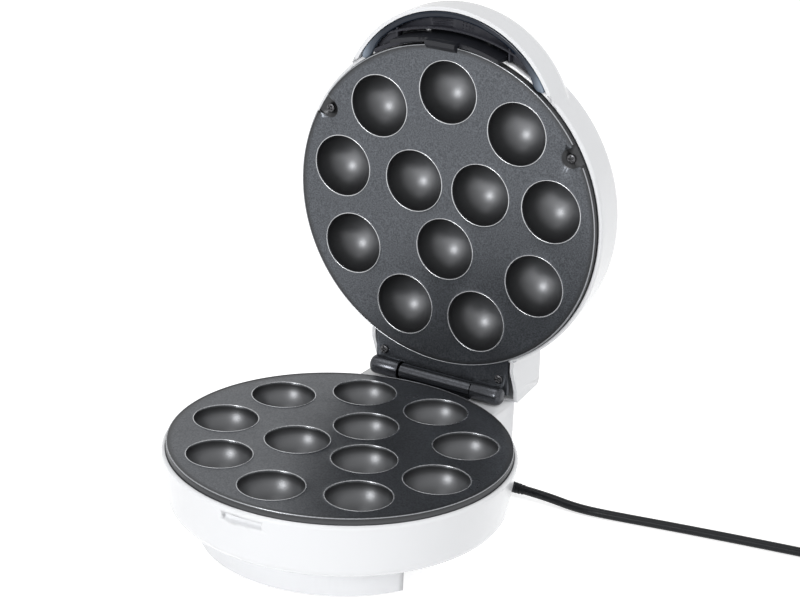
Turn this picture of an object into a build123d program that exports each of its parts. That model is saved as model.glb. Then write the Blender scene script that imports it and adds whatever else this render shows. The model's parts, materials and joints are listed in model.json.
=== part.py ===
from build123d import *
import math
import os

# Round countertop cake pop maker with a hinged lid, stored open against its stop.
# Lengths are in mm and angles in degrees. The working origin is the centre of the lower plate's face,
# with +Y towards the hinge. The lid is drawn closed and then turned open about the hinge axis, and at
# the end the whole part is moved so that its origin is the bottom centre of its box.

# ---- cups, the same on both plates ----
CUP_R = 20.3
CUP_DEPTH = 19.8
CUP_WALL = 2.2
BEAD_W = 1.5
BEAD_H = 0.32
OUTER_CUPS = 9
CUP_EDGE = 9.8
INNER_CUPS = 3
INNER_RING_R = 28.0
INNER_SHIFT_X = 1.7

# ---- plates ----
PLATE_R = 107.6
PLATE_T = 3.0
PLATE_SKIRT_H = 6.0
PLATE_SKIRT_W = 2.5
PLATE_EDGE_ROUND = 3.4
PLATE_PROUD = 4.0
PLATE_GAP = 1.0
SCREW_INSET = 6.6
TAB_ANGLE = 30.0
TAB_POCKET_R = 6.4
TAB_POCKET_DEPTH = 2.4
BOSS_R = 2.7
PLATE_SCREW_R = 1.3
PLATE_SCREW_HEAD_R = 2.9
HEAD_T = 1.8
HEATER_SHIFT = 0.75
HEATER_TUBE_R = 3.25
HEATER_Z = 15.5
HEATER_GAP_ANGLE = 28.0
HEATER_RIB_W = 8.0
HEATER_LEG = 9.0
HEATER_PIN_R = 1.4
HEATER_PIN_L = 6.0

# ---- casings ----
WALL = 2.5
RIM_ROUND = 2.0
SEAT_CLEAR = 0.5
BASE_DRAFT = 0.14
LID_DRAFT = 0.12
BASE_DEPTH = 37.0
BASE_ROUND = 7.5
LID_DEPTH = 39.5
LID_ROUND = 12.0
LID_CROWN = 1.5
LUG_HALF = 6.5
LUG_INSET = 3.6
LUG_T = 3.0
LEDGE_T = 2.0
LEDGE_W = 4.0
REFLECTOR_DROP = 5.0
REFLECTOR_ROOM = 4.6
REFLECTOR_T = 0.8
REFLECTOR_CLEAR = 0.5
REFLECTOR_LUG_CLEAR = 1.4
REFLECTOR_TAPER = 6.0
BOTTOM_LIP_W = 6.0

# ---- feet ----
FACE_HEIGHT = 63.0
FOOT_T = 1.5
FRONT_FOOT_INSET = 24.0
FRONT_FOOT_W = 17.0
FRONT_FOOT_HALF_ANGLE = 59.0
FOOT_PAD_R = 5.5
FOOT_PAD_SINK = 1.0
COVER_T = 2.4
COVER_SCREW_R = 1.4
COVER_SCREW_HEAD_R = 2.6
COVER_SCREW_INSET = 23.6
COVER_SCREW_ANGLES = (5, 175)
COVER_TAB_H = 5.0
REAR_PAD_X = 36.0
REAR_PAD_INSET = 12.6
COVER_NOTCH_L = 22.0
LEAD_HOLE_HALF = 18.0
LEAD_HOLE_TOP = 18.0

# ---- hinge ----
HINGE_REACH = 9.8
HINGE_Z = -0.5
OPEN_ANGLE = 88.2
PIN_R = 2.0
PIN_RUNNING = 0.06
MIDDLE_KNUCKLE_R = 4.8
MIDDLE_KNUCKLE_HALF = 26.5
OUTER_KNUCKLE_R = 5.8
OUTER_KNUCKLE_INSET = 2.5
KNUCKLE_GAP = 1.2
CAP_LENGTH = 2.6
CAP_R = 5.2
CAP_SPIGOT_R = 3.4
CAP_SPIGOT_L = 3.0
LEAF_T = 3.0
LEAF_SIDE_CLEAR = 1.5
LEAF_PAST = 1.2
BRACKET_SCREW_INSET_X = 6.2
BRACKET_SCREW_INSET_Y = 9.4
BRACKET_SCREW_R = 1.6
BRACKET_SCREW_HEAD_R = 3.0
BRACKET_POST_R = 3.6
BRACKET_POST_L = 14.0
POST_WEB_L = 11.0
BRACKET_SCREW_L = 11.0
BASE_FLANGE_T = 2.0
BASE_BRACKET_SCREW_X = (-18, 0, 18)
BASE_BRACKET_SCREW_REACH = 7.8
BASE_SCREW_HEAD_R = 2.4

# ---- rear tower of the base and hinge housing of the lid ----
TOWER_HALF = 53.5
TOWER_INSET = 18.6
TOWER_REACH = 15.2
TOWER_LEAN = 3.0
TOWER_ROUND = 7.0
TOWER_EDGE = 1.5
TOWER_POST_INSETS = (6.0, 6.5, 9.6)
TOWER_POST_R = 3.6
TOWER_POST_L = 12.0
TOWER_TOP_GAP = 0.7
STOP_GAP = 0.3
HOUSING_REACH = 8.6
HOUSING_LEAN = 3.0
HOUSING_SLOPE_INSET = 6.6
HOUSING_HEIGHT = 38.5
HOUSING_ROUND = 5.0
WIRE_HOLE_HALF = 15.0
WIRE_HOLE_UP = 14.0
WIRE_HOLE_H = 12.0

# ---- handle on the front of the lid ----
HANDLE_DEPTH = 18.4
HANDLE_R = 76.5
HANDLE_TOP = 38.0
HANDLE_ROUND = 19.5
TRIM_W = 4.2
TRIM_BOTTOM = 3.0
TRIM_TOP = 10.5
TRIM_HALF = 66.5
TRIM_BACK_IN = 20.6
HANDLE_LOW = 3.4
LINER_HALF = 56.0
LINER_BACK_IN = 13.6
LINER_STEP = 5.0
LINER_T = 2.5
LINER_LIP = 1.5
GRIP_RIBS = 3
GRIP_INSET = 6.5
GRIP_RIB_START = 2.0
GRIP_RIB_SPAN = 11.5
GRIP_RIB_PITCH = 2.1
GRIP_RIB_W = 1.0
GRIP_RIB_H = 0.8

# ---- latch ----
LATCH_HALF = 38.5
LATCH_T = 2.6
LATCH_BOTTOM = -7.0
LATCH_TOP = 12.0
LATCH_RUN = 0.5
LATCH_SLOT_ROOM = 2.8
LATCH_SIDE_RUN = 0.5
LATCH_SPRING_HALF = 6.0
LATCH_SPRING_R = 2.6
LATCH_SPRING_PITCH = 1.9
LATCH_SPRING_TURNS = 4
LATCH_SPRING_LEG = 6.0
LATCH_WIRE_R = 0.6
EAR_X = 20.5
EAR_T = 3.0
EAR_LOW = 13.0
EAR_REACH = 13.4
LATCH_PIVOT_OUT = 3.0
LATCH_PIVOT_Z = 17.0
LATCH_BARREL_R = 3.4
LATCH_PIN_R = 1.5
HOOK_HALF = 10.6
HOOK_DROP = 5.6
HOOK_REACH = 3.6
CATCH_HALF = 14.0
CATCH_TOP = -8.0
CATCH_H = 5.2
CATCH_DEPTH = 5.1
CATCH_WALL = 1.5

# ---- mains lead ----
CORD_R = 3.0
CORD_EXIT_IN = 20.5
CORD_EXIT_UP = 4.0
RELIEF_NECK_R = 3.4
RELIEF_FLANGE_T = 2.0
RELIEF_LENGTH = 20.0
RELIEF_BASE_R = 4.0
COIL_X = 295.0
COIL_Y = 179.0
COIL_R = 33.0
COIL_DRIFT = 1.5
COIL_PITCH = 6.9
COIL_TURNS = 3
COIL_START_ANGLE = -81.0
CORD_COIL_RUN = 40.0
CORD_TAIL_RUN = 26.0
PLUG_R = 9.0
PLUG_LENGTH = 34.0
PLUG_X = 408.0
PLUG_Y = 157.0
BLADE_PITCH = 12.7
BLADE_L = 16.0

# ---- electrics ----
THERMOSTAT_R = 7.5
THERMOSTAT_H = 5.0
FUSE_R = 1.8
FUSE_L = 12.0
FUSE_Y = 20.0
TERMINAL_L = 22.0
TERMINAL_W = 12.0
TERMINAL_H = 13.0
TERMINAL_IN = 14.0
LAMP_X = 9.0
LAMP_Y = -58.0
LAMP_R = 3.5
LAMP_PROUD = 1.0

# ---- clearances ----
FIT = 0.3
RUN = 0.6

# ---- derived places ----
OUTER_RING_R = PLATE_R - CUP_R - CUP_EDGE
HEATER_RING_R = (INNER_RING_R + OUTER_RING_R) / 2 + HEATER_SHIFT
SCREW_RING_R = PLATE_R - SCREW_INSET
SEAT_R = PLATE_R + SEAT_CLEAR
RIM_R = SEAT_R + WALL
LUG_INNER_R = SCREW_RING_R - LUG_INSET
REFLECTOR_R = SEAT_R - LEDGE_W - REFLECTOR_CLEAR
REFLECTOR_DISH_R = LUG_INNER_R - REFLECTOR_LUG_CLEAR
FRONT_FOOT_R = RIM_R - FRONT_FOOT_INSET
COVER_SCREW_RING_R = RIM_R - COVER_SCREW_INSET
HINGE_Y = RIM_R + HINGE_REACH
LEAF_HALF = TOWER_HALF - WALL - LEAF_SIDE_CLEAR
LEAF_BACK = HINGE_Y + LEAF_PAST
BRACKET_SCREW_X = LEAF_HALF - BRACKET_SCREW_INSET_X
BRACKET_SCREW_Y = HINGE_Y - BRACKET_SCREW_INSET_Y
OUTER_KNUCKLE_END = LEAF_HALF - OUTER_KNUCKLE_INSET
BASE_BRACKET_SCREW_Y = HINGE_Y + BASE_BRACKET_SCREW_REACH
TOWER_FRONT = RIM_R - TOWER_INSET
TOWER_BACK = HINGE_Y + TOWER_REACH
TOWER_POST_X = TOWER_HALF - TOWER_POST_INSETS[0]
TOWER_POST_Y = (TOWER_FRONT + TOWER_POST_INSETS[1], TOWER_BACK - TOWER_POST_INSETS[2])
REAR_PAD_Y = TOWER_BACK - REAR_PAD_INSET
HOUSING_BACK = HINGE_Y + HOUSING_REACH
HOUSING_SLOPE_FRONT = RIM_R - HOUSING_SLOPE_INSET
HANDLE_Y = HANDLE_R - HANDLE_DEPTH - RIM_R
HANDLE_FRONT = HANDLE_Y - HANDLE_R - WALL
TRIM_BACK = TRIM_BACK_IN - RIM_R
LINER_BACK = LINER_BACK_IN - RIM_R
GRIP_R = HANDLE_R - GRIP_INSET
LATCH_SLOT_R = RIM_R + LATCH_RUN + LATCH_T + LATCH_SLOT_ROOM
EAR_FRONT = RIM_R + EAR_REACH
LATCH_PIVOT_Y = -RIM_R - LATCH_PIVOT_OUT
CATCH_FLOOR_R = RIM_R - CATCH_DEPTH
RIM_Z = -PLATE_PROUD
BASE_BOTTOM = RIM_Z - BASE_DEPTH
TABLE_Z = -FACE_HEIGHT
LEG_BOTTOM = TABLE_Z + FOOT_T
CORD_EXIT_Y = TOWER_FRONT + CORD_EXIT_IN
CORD_EXIT_Z = LEG_BOTTOM + CORD_EXIT_UP
TERMINAL_Y = TOWER_FRONT + TERMINAL_IN
LID_RIM_Z = PLATE_GAP + PLATE_PROUD
LID_TOP = LID_RIM_Z + LID_DEPTH
LEAF_BOTTOM = LID_RIM_Z
LEAF_TOP = LEAF_BOTTOM + LEAF_T
CUP_SPHERE_R = (CUP_R**2 + CUP_DEPTH**2) / (2 * CUP_DEPTH)
CUP_CENTRE_Z = CUP_SPHERE_R - CUP_DEPTH
HINGE_AXIS = Axis((0, HINGE_Y, HINGE_Z), (1, 0, 0))
TOWER_TOP = HINGE_Z - OUTER_KNUCKLE_R - TOWER_TOP_GAP
LAMP_SEAT = LID_TOP - LID_CROWN * 0.5


def cup_places():
    """(x, y) of every cup on a plate: the outer ring starts at the front."""
    outer = [(OUTER_RING_R, -90 + k * 360 / OUTER_CUPS) for k in range(OUTER_CUPS)]
    inner = [(INNER_RING_R, 90 + k * 360 / INNER_CUPS) for k in range(INNER_CUPS)]
    places = [(r * math.cos(math.radians(a)), r * math.sin(math.radians(a))) for r, a in outer]
    for r, a in inner:
        places.append((INNER_SHIFT_X + r * math.cos(math.radians(a)), r * math.sin(math.radians(a))))
    return places


def outline(points, rounds=None):
    """A flat face through points, with the corners named by index rounded."""
    face = make_face(Polyline(*points, close=True))
    for index, radius in (rounds or {}).items():
        corner = face.vertices().sort_by_distance(Vector(*points[index], 0))[0]
        face = fillet(corner, radius)
    return face


def turned(face, x=0.0, y=0.0):
    """Revolves a face drawn as (radius, height) about the vertical axis at x, y."""
    return Pos(x, y, 0) * revolve(Plane.XZ * face, Axis.Z)


def drum(radius, low, high, x=0.0, y=0.0):
    """An upright cylinder between two heights."""
    return Pos(x, y, (low + high) / 2) * Cylinder(radius, abs(high - low))


def block(x0, x1, y0, y1, z0, z1):
    """A box between two corners."""
    return Pos((x0 + x1) / 2, (y0 + y1) / 2, (z0 + z1) / 2) * Box(x1 - x0, y1 - y0, z1 - z0)


def slab(face, low, high):
    """Raises a plan face from one height to another."""
    return Pos(0, 0, low) * extrude(face, high - low)


def along_x(face, half):
    """Extrudes a side view drawn as (y, z) to both sides of the middle plane."""
    return extrude(Plane.YZ * face, half, both=True)


def bar_x(radius, x0, x1, y, z):
    """A round bar along X."""
    return Pos((x0 + x1) / 2, y, z) * Rot(0, 90, 0) * Cylinder(radius, x1 - x0)


def polar(radius, angle):
    return radius * math.cos(math.radians(angle)), radius * math.sin(math.radians(angle))


# ---- plates, heaters and reflectors: drawn for the base with the face at z = 0 ----

LEDGE_TOP = -PLATE_SKIRT_H
LEDGE_BOTTOM = LEDGE_TOP - LEDGE_T
FLANGE_TOP = LEDGE_BOTTOM - REFLECTOR_DROP
FLANGE_BOTTOM = FLANGE_TOP - REFLECTOR_T
LUG_BOTTOM = FLANGE_BOTTOM - LUG_T
REFLECTOR_FLOOR = -CUP_DEPTH - CUP_WALL - REFLECTOR_ROOM
TAB_ANGLES = (-TAB_ANGLE, 180 + TAB_ANGLE)
FIXING_ANGLES = (-TAB_ANGLE, 90, 180 + TAB_ANGLE)


def cup_outside():
    """The half ball under the plate that one cup shows from below."""
    radius = CUP_SPHERE_R + CUP_WALL
    low = CUP_CENTRE_Z - radius
    top = -PLATE_T / 2
    top_r = math.sqrt(radius**2 - (CUP_CENTRE_Z - top) ** 2)
    bend = math.radians(45)
    middle = (radius * math.sin(bend), CUP_CENTRE_Z - radius * math.cos(bend))
    edges = [
        Line((0, low), (0, top)),
        Line((0, top), (top_r, top)),
        ThreePointArc((top_r, top), middle, (0, low)),
    ]
    return turned(make_face(edges))


def cup_bead():
    """The low raised ring round the mouth of one cup."""
    face = outline(
        [
            (CUP_R - 1, -PLATE_T / 2),
            (CUP_R + BEAD_W, -PLATE_T / 2),
            (CUP_R + BEAD_W, 0),
            (CUP_R + BEAD_W * 0.6, BEAD_H),
            (CUP_R - 1, BEAD_H),
        ]
    )
    return turned(face)


def plate(with_tabs):
    """Die-cast cooking plate: rounded edge, skirt, twelve cups and a rib that holds the heater."""
    blank = outline(
        [
            (0, -PLATE_T),
            (PLATE_R - PLATE_SKIRT_W, -PLATE_T),
            (PLATE_R - PLATE_SKIRT_W, LEDGE_TOP),
            (PLATE_R, LEDGE_TOP),
            (PLATE_R, 0),
            (0, 0),
        ],
        {4: PLATE_EDGE_ROUND},
    )
    body = turned(blank)
    rib = drum(HEATER_RING_R + HEATER_RIB_W / 2, -HEATER_Z, -PLATE_T / 2)
    rib -= drum(HEATER_RING_R - HEATER_RIB_W / 2, -HEATER_Z - 1, 0)
    bosses = []
    for angle in FIXING_ANGLES:
        x, y = polar(SCREW_RING_R, angle)
        bosses.append(drum(BOSS_R, FLANGE_TOP, -PLATE_T / 2, x, y))
    dome = cup_outside()
    bead = cup_bead()
    domes = [Pos(x, y, 0) * dome for x, y in cup_places()]
    beads = [Pos(x, y, 0) * bead for x, y in cup_places()]
    body = body + [rib] + bosses + domes + beads
    ball = Sphere(CUP_SPHERE_R)
    cuts = [Pos(x, y, CUP_CENTRE_Z) * ball for x, y in cup_places()]
    cuts.append(Pos(0, 0, -HEATER_Z) * Torus(HEATER_RING_R, HEATER_TUBE_R))
    if with_tabs:
        for angle in TAB_ANGLES:
            x, y = polar(SCREW_RING_R, angle)
            pocket = slab(SlotOverall(TAB_POCKET_R * 4, TAB_POCKET_R * 2), -TAB_POCKET_DEPTH, 5)
            cuts.append(Pos(x, y, 0) * Rot(Z=angle) * Pos(TAB_POCKET_R, 0, 0) * pocket)
            cuts.append(drum(PLATE_SCREW_R + FIT, FLANGE_TOP - 1, 1, x, y))
    else:
        for angle in FIXING_ANGLES:
            x, y = polar(SCREW_RING_R, angle)
            cuts.append(drum(PLATE_SCREW_R, FLANGE_TOP - 1, -PLATE_T / 2 - 1, x, y))
    return body - cuts


def heater():
    """Tubular element: an open ring in the plate's rib with two legs and thin terminal pins."""
    span = 360 - HEATER_GAP_ANGLE
    start = 90 + HEATER_GAP_ANGLE / 2
    section = Plane.XZ * Pos(HEATER_RING_R, -HEATER_Z) * Circle(HEATER_TUBE_R)
    ring = Rot(Z=start) * revolve(section, Axis.Z, span)
    parts = []
    for angle in (start, start + span):
        x, y = polar(HEATER_RING_R, angle)
        leg_end = -HEATER_Z - HEATER_LEG
        parts.append(Pos(x, y, -HEATER_Z) * Sphere(HEATER_TUBE_R))
        parts.append(drum(HEATER_TUBE_R, leg_end, -HEATER_Z, x, y))
        parts.append(drum(HEATER_PIN_R, leg_end - HEATER_PIN_L, leg_end + 1, x, y))
    return ring + parts


def reflector():
    """Pressed sheet dish under the plate, with holes for the heater's legs and the screws."""
    inner = REFLECTOR_DISH_R
    floor = REFLECTOR_FLOOR
    foot = inner - REFLECTOR_TAPER
    sheet = outline(
        [
            (0, floor),
            (foot, floor),
            (inner, FLANGE_TOP),
            (REFLECTOR_R, FLANGE_TOP),
            (REFLECTOR_R, FLANGE_BOTTOM),
            (inner + REFLECTOR_T, FLANGE_BOTTOM),
            (foot + REFLECTOR_T, floor - REFLECTOR_T),
            (0, floor - REFLECTOR_T),
        ]
    )
    dish = turned(sheet)
    cuts = []
    for side in (-1, 1):
        x, y = polar(HEATER_RING_R, 90 + side * HEATER_GAP_ANGLE / 2)
        cuts.append(drum(HEATER_TUBE_R + RUN, floor - 3, floor + 3, x, y))
    for angle in FIXING_ANGLES:
        x, y = polar(SCREW_RING_R, angle)
        cuts.append(drum(PLATE_SCREW_R + FIT, FLANGE_BOTTOM - 1, FLANGE_TOP + 1, x, y))
    return dish - cuts


def pan_screw(shank_r, head_r, length):
    """A screw that points up, with the underside of its head at z = 0."""
    head = outline([(0, -HEAD_T), (head_r - 0.6, -HEAD_T), (head_r, -HEAD_T * 0.5), (head_r, 0), (0, 0)])
    return turned(head) + drum(shank_r, -0.5, length)


def upper(shape):
    """Turns a shape drawn for the lower plate over to the closed upper plate."""
    return mirror(shape, about=Plane.XY.offset(PLATE_GAP / 2))


# ---- casings ----

def lugs(angles):
    """Inward lugs of a casing that take the plate's screws, level with the reflector's flange."""
    parts = []
    for angle in angles:
        lug = block(LUG_INNER_R, SEAT_R, -LUG_HALF, LUG_HALF, LUG_BOTTOM, FLANGE_BOTTOM)
        parts.append(Rot(Z=angle) * lug)
    return parts


def lug_holes(angles, radius, depth):
    cuts = []
    for angle in angles:
        x, y = polar(SCREW_RING_R, angle)
        cuts.append(drum(radius, FLANGE_BOTTOM - depth, FLANGE_BOTTOM + 1, x, y))
    return cuts


def base_shell():
    """Moulded drum with the plate's seat, the rear tower and the catch pocket in the front rim."""
    low_r = RIM_R - BASE_DRAFT * BASE_DEPTH
    hole_r = low_r - BASE_ROUND - BOTTOM_LIP_W
    under_r = RIM_R - BASE_DRAFT * (RIM_Z - LEDGE_BOTTOM) - WALL
    outside = outline(
        [(0, RIM_Z), (RIM_R, RIM_Z), (low_r, BASE_BOTTOM), (0, BASE_BOTTOM)],
        {1: RIM_ROUND, 2: BASE_ROUND},
    )
    inside = outline(
        [
            (0, RIM_Z + 1),
            (SEAT_R, RIM_Z + 1),
            (SEAT_R, LEDGE_TOP),
            (SEAT_R - LEDGE_W, LEDGE_TOP),
            (SEAT_R - LEDGE_W, LEDGE_BOTTOM),
            (under_r, LEDGE_BOTTOM),
            (low_r - WALL, BASE_BOTTOM + WALL),
            (hole_r, BASE_BOTTOM + WALL),
            (hole_r, BASE_BOTTOM - 1),
            (0, BASE_BOTTOM - 1),
        ],
        {6: BASE_ROUND - WALL},
    )
    tower_plan = outline(
        [
            (-TOWER_HALF, TOWER_FRONT),
            (TOWER_HALF, TOWER_FRONT),
            (TOWER_HALF, TOWER_BACK),
            (-TOWER_HALF, TOWER_BACK),
        ],
        {2: TOWER_ROUND, 3: TOWER_ROUND},
    )
    tower_side = outline(
        [
            (TOWER_FRONT, TOWER_TOP),
            (TOWER_BACK - TOWER_LEAN, TOWER_TOP),
            (TOWER_BACK, LEG_BOTTOM),
            (TOWER_FRONT, LEG_BOTTOM),
        ],
        {1: TOWER_EDGE},
    )
    hollow_plan = outline(
        [
            (-TOWER_HALF + WALL, TOWER_FRONT + WALL),
            (TOWER_HALF - WALL, TOWER_FRONT + WALL),
            (TOWER_HALF - WALL, TOWER_BACK - WALL),
            (-TOWER_HALF + WALL, TOWER_BACK - WALL),
        ],
        {2: TOWER_ROUND - WALL, 3: TOWER_ROUND - WALL},
    )
    hollow_side = outline(
        [
            (TOWER_FRONT, TOWER_TOP - WALL),
            (TOWER_BACK - TOWER_LEAN - WALL, TOWER_TOP - WALL),
            (TOWER_BACK - WALL, LEG_BOTTOM - 1),
            (TOWER_FRONT, LEG_BOTTOM - 1),
        ]
    )
    drum_out = turned(outside)
    drum_in = turned(inside)
    tower = slab(tower_plan, LEG_BOTTOM, TOWER_TOP) & along_x(tower_side, TOWER_HALF + 1)
    hollow = slab(hollow_plan, LEG_BOTTOM - 1, TOWER_TOP) & along_x(hollow_side, TOWER_HALF)
    tower_shell = (tower - hollow) - drum_out
    posts = []
    for x in (-TOWER_POST_X, TOWER_POST_X):
        for y in TOWER_POST_Y:
            posts.append(drum(TOWER_POST_R, LEG_BOTTOM + COVER_T, LEG_BOTTOM + COVER_T + TOWER_POST_L, x, y))
    catch_low = CATCH_TOP - CATCH_H
    catch_box = block(
        -CATCH_HALF - CATCH_WALL,
        CATCH_HALF + CATCH_WALL,
        -RIM_R,
        -CATCH_FLOOR_R + CATCH_WALL,
        catch_low - CATCH_WALL,
        CATCH_TOP,
    )
    catch_box = catch_box & drum_out
    cover_tabs = []
    floor = BASE_BOTTOM + WALL
    for angle in COVER_SCREW_ANGLES:
        tab = block(COVER_SCREW_RING_R - 5, low_r - BASE_ROUND, -6, 6, floor, floor + COVER_TAB_H)
        cover_tabs.append(Rot(Z=angle) * tab)
    shell = (drum_out - drum_in) + [tower_shell, catch_box] + posts + cover_tabs + lugs(FIXING_ANGLES)
    cuts = lug_holes(FIXING_ANGLES, PLATE_SCREW_R + FIT, LUG_T + 1)
    for angle in COVER_SCREW_ANGLES:
        x, y = polar(COVER_SCREW_RING_R, angle)
        cuts.append(drum(COVER_SCREW_R, BASE_BOTTOM, floor + COVER_TAB_H - 1, x, y))
    for x in (-TOWER_POST_X, TOWER_POST_X):
        for y in TOWER_POST_Y:
            cuts.append(drum(COVER_SCREW_R, LEG_BOTTOM, LEG_BOTTOM + COVER_T + TOWER_POST_L - 1, x, y))
    for x in BASE_BRACKET_SCREW_X:
        cuts.append(drum(BRACKET_SCREW_R, TOWER_TOP - WALL - 1, TOWER_TOP + 1, x, BASE_BRACKET_SCREW_Y))
    cuts.append(block(-CATCH_HALF, CATCH_HALF, -RIM_R - 5, -CATCH_FLOOR_R, catch_low, CATCH_TOP))
    wire_hole = block(-LEAD_HOLE_HALF, LEAD_HOLE_HALF, TOWER_FRONT + WALL, RIM_R + 1, floor + 4, floor + LEAD_HOLE_TOP)
    cuts.append(wire_hole & drum_out)
    relief = bar_x(RELIEF_NECK_R, TOWER_HALF - WALL - 1, TOWER_HALF + 1, CORD_EXIT_Y, CORD_EXIT_Z)
    slot = block(
        TOWER_HALF - WALL - 1,
        TOWER_HALF + 1,
        CORD_EXIT_Y - RELIEF_NECK_R,
        CORD_EXIT_Y + RELIEF_NECK_R,
        LEG_BOTTOM - 1,
        CORD_EXIT_Z,
    )
    return shell - cuts - relief - slot


def lid_shell():
    """Moulded lid: crowned drum, hinge housing at the back and the handle's bulge at the front."""
    top_edge = LID_TOP - LID_CROWN
    top_r = RIM_R - LID_DRAFT * (top_edge - LID_RIM_Z)
    outside = outline(
        [
            (0, LID_RIM_Z),
            (RIM_R, LID_RIM_Z),
            (top_r, top_edge),
            (top_r * 0.5, LID_TOP - LID_CROWN * 0.3),
            (0, LID_TOP),
        ],
        {1: RIM_ROUND, 2: LID_ROUND},
    )
    seat = upper_z(LEDGE_TOP)
    seat_top = upper_z(LEDGE_BOTTOM)
    over_r = RIM_R - LID_DRAFT * (seat_top - LID_RIM_Z) - WALL
    inside = outline(
        [
            (0, LID_RIM_Z - 1),
            (SEAT_R, LID_RIM_Z - 1),
            (SEAT_R, seat),
            (SEAT_R - LEDGE_W, seat),
            (SEAT_R - LEDGE_W, seat_top),
            (over_r, seat_top),
            (top_r - WALL, top_edge - WALL),
            (top_r * 0.5, LID_TOP - LID_CROWN * 0.3 - WALL),
            (0, LID_TOP - WALL),
        ],
        {6: LID_ROUND - WALL},
    )
    drum_out = turned(outside)
    drum_in = turned(inside)
    bulge_face = outline(
        [(0, HANDLE_LOW), (HANDLE_R + WALL, HANDLE_LOW), (HANDLE_R + WALL, HANDLE_TOP), (0, HANDLE_TOP)],
        {2: HANDLE_ROUND},
    )
    cavity_face = outline(
        [
            (0, HANDLE_LOW - 1),
            (HANDLE_R, HANDLE_LOW - 1),
            (HANDLE_R, HANDLE_TOP - WALL),
            (0, HANDLE_TOP - WALL),
        ],
        {2: HANDLE_ROUND - WALL},
    )
    front_half = block(-RIM_R, RIM_R, HANDLE_FRONT - 1, HANDLE_Y, HANDLE_LOW - 2, LID_TOP)
    bulge = (turned(bulge_face, 0, HANDLE_Y) & front_half) - turned(cavity_face, 0, HANDLE_Y)
    bulge = bulge - drum_out - drum(RIM_R, HANDLE_LOW - 1, LID_RIM_Z)
    under = housing_under()
    side = outline(
        [
            (LUG_INNER_R, LID_RIM_Z),
            (HOUSING_SLOPE_FRONT, LID_RIM_Z),
            (HINGE_Y, under),
            (HOUSING_BACK, under),
            (HOUSING_BACK - HOUSING_LEAN, LID_RIM_Z + HOUSING_HEIGHT),
            (LUG_INNER_R, LID_RIM_Z + HOUSING_HEIGHT),
        ],
        {3: 2.0, 4: HOUSING_ROUND},
    )
    hollow_side = outline(
        [
            (LUG_INNER_R - 1, LID_RIM_Z - 1),
            (HOUSING_BACK - WALL, LID_RIM_Z - 1),
            (HOUSING_BACK - WALL, under),
            (HOUSING_BACK - HOUSING_LEAN - WALL, LID_RIM_Z + HOUSING_HEIGHT - WALL),
            (LUG_INNER_R - 1, LID_RIM_Z + HOUSING_HEIGHT - WALL),
        ],
        {3: HOUSING_ROUND - WALL},
    )
    housing = along_x(side, TOWER_HALF) - along_x(hollow_side, TOWER_HALF - WALL)
    housing = housing - drum_out
    posts = []
    cuts = []
    for x in (-BRACKET_SCREW_X, BRACKET_SCREW_X):
        end = LEAF_TOP + BRACKET_POST_L
        post = drum(BRACKET_POST_R, LEAF_TOP, end, x, BRACKET_SCREW_Y)
        web = block(x - 1.2, x + 1.2, BRACKET_SCREW_Y - POST_WEB_L, BRACKET_SCREW_Y, LEAF_TOP, end)
        posts += [(post + web) - drum_in]
        cuts.append(drum(BRACKET_SCREW_R, LEAF_TOP - 1, end - 1, x, BRACKET_SCREW_Y))
    ears = []
    for side_sign in (-1, 1):
        x0 = side_sign * EAR_X
        x1 = side_sign * (EAR_X + EAR_T)
        ear = block(min(x0, x1), max(x0, x1), -EAR_FRONT, -LATCH_SLOT_R + 10, EAR_LOW, HANDLE_TOP)
        ear = (ear & turned(bulge_face, 0, HANDLE_Y)) - drum_out
        ears.append(ear)
        pin_x = side_sign * (EAR_X + EAR_T / 2)
        cuts.append(bar_x(LATCH_PIN_R, pin_x - EAR_T, pin_x + EAR_T, LATCH_PIVOT_Y, LATCH_PIVOT_Z))
    lugs_up = [upper(lug) for lug in lugs(FIXING_ANGLES)]
    bosses = []
    for angle in TAB_ANGLES:
        x, y = polar(SCREW_RING_R, angle)
        bosses.append(upper(drum(BOSS_R + 1, LUG_BOTTOM - 5, LUG_BOTTOM, x, y)))
    cuts += [upper(hole) for hole in lug_holes(TAB_ANGLES, PLATE_SCREW_R, LUG_T + 4.5)]
    shell = (drum_out - drum_in) + [bulge, housing] + posts + ears + lugs_up + bosses
    half = LEAF_HALF + FIT
    notch = block(-half, half, TOWER_FRONT, HOUSING_BACK - WALL, LID_RIM_Z - 1, LEAF_TOP)
    notch = notch - drum(SEAT_R, LID_RIM_Z - 2, LEAF_TOP + 1)
    cuts.append(notch)
    hole_low = LID_RIM_Z + WIRE_HOLE_UP
    half = WIRE_HOLE_HALF
    cuts.append(block(-half, half, TOWER_FRONT, HINGE_Y, hole_low, hole_low + WIRE_HOLE_H))
    for x in (-LAMP_X, LAMP_X):
        cuts.append(drum(LAMP_R, LID_TOP - 12, LID_TOP + 5, x, LAMP_Y))
    return shell - cuts


def upper_z(z):
    return PLATE_GAP - z


def housing_under():
    """Height of the housing's underside that lands on the tower's back edge when the lid is open."""
    reach = TOWER_BACK - TOWER_LEAN + STOP_GAP - HINGE_Y
    angle = math.radians(OPEN_ANGLE)
    drop = HINGE_Z - TOWER_TOP
    return HINGE_Z + (reach - drop * math.cos(angle)) / math.sin(angle)


# ---- covers and feet ----

def sector(r0, r1, z0, z1, half_angle):
    """A ring sector centred on the front."""
    face = outline([(r0, z0), (r1, z0), (r1, z1), (r0, z1)])
    ring = revolve(Plane.XZ * face, Axis.Z, 2 * half_angle)
    return Rot(Z=-90 - half_angle) * ring


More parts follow.
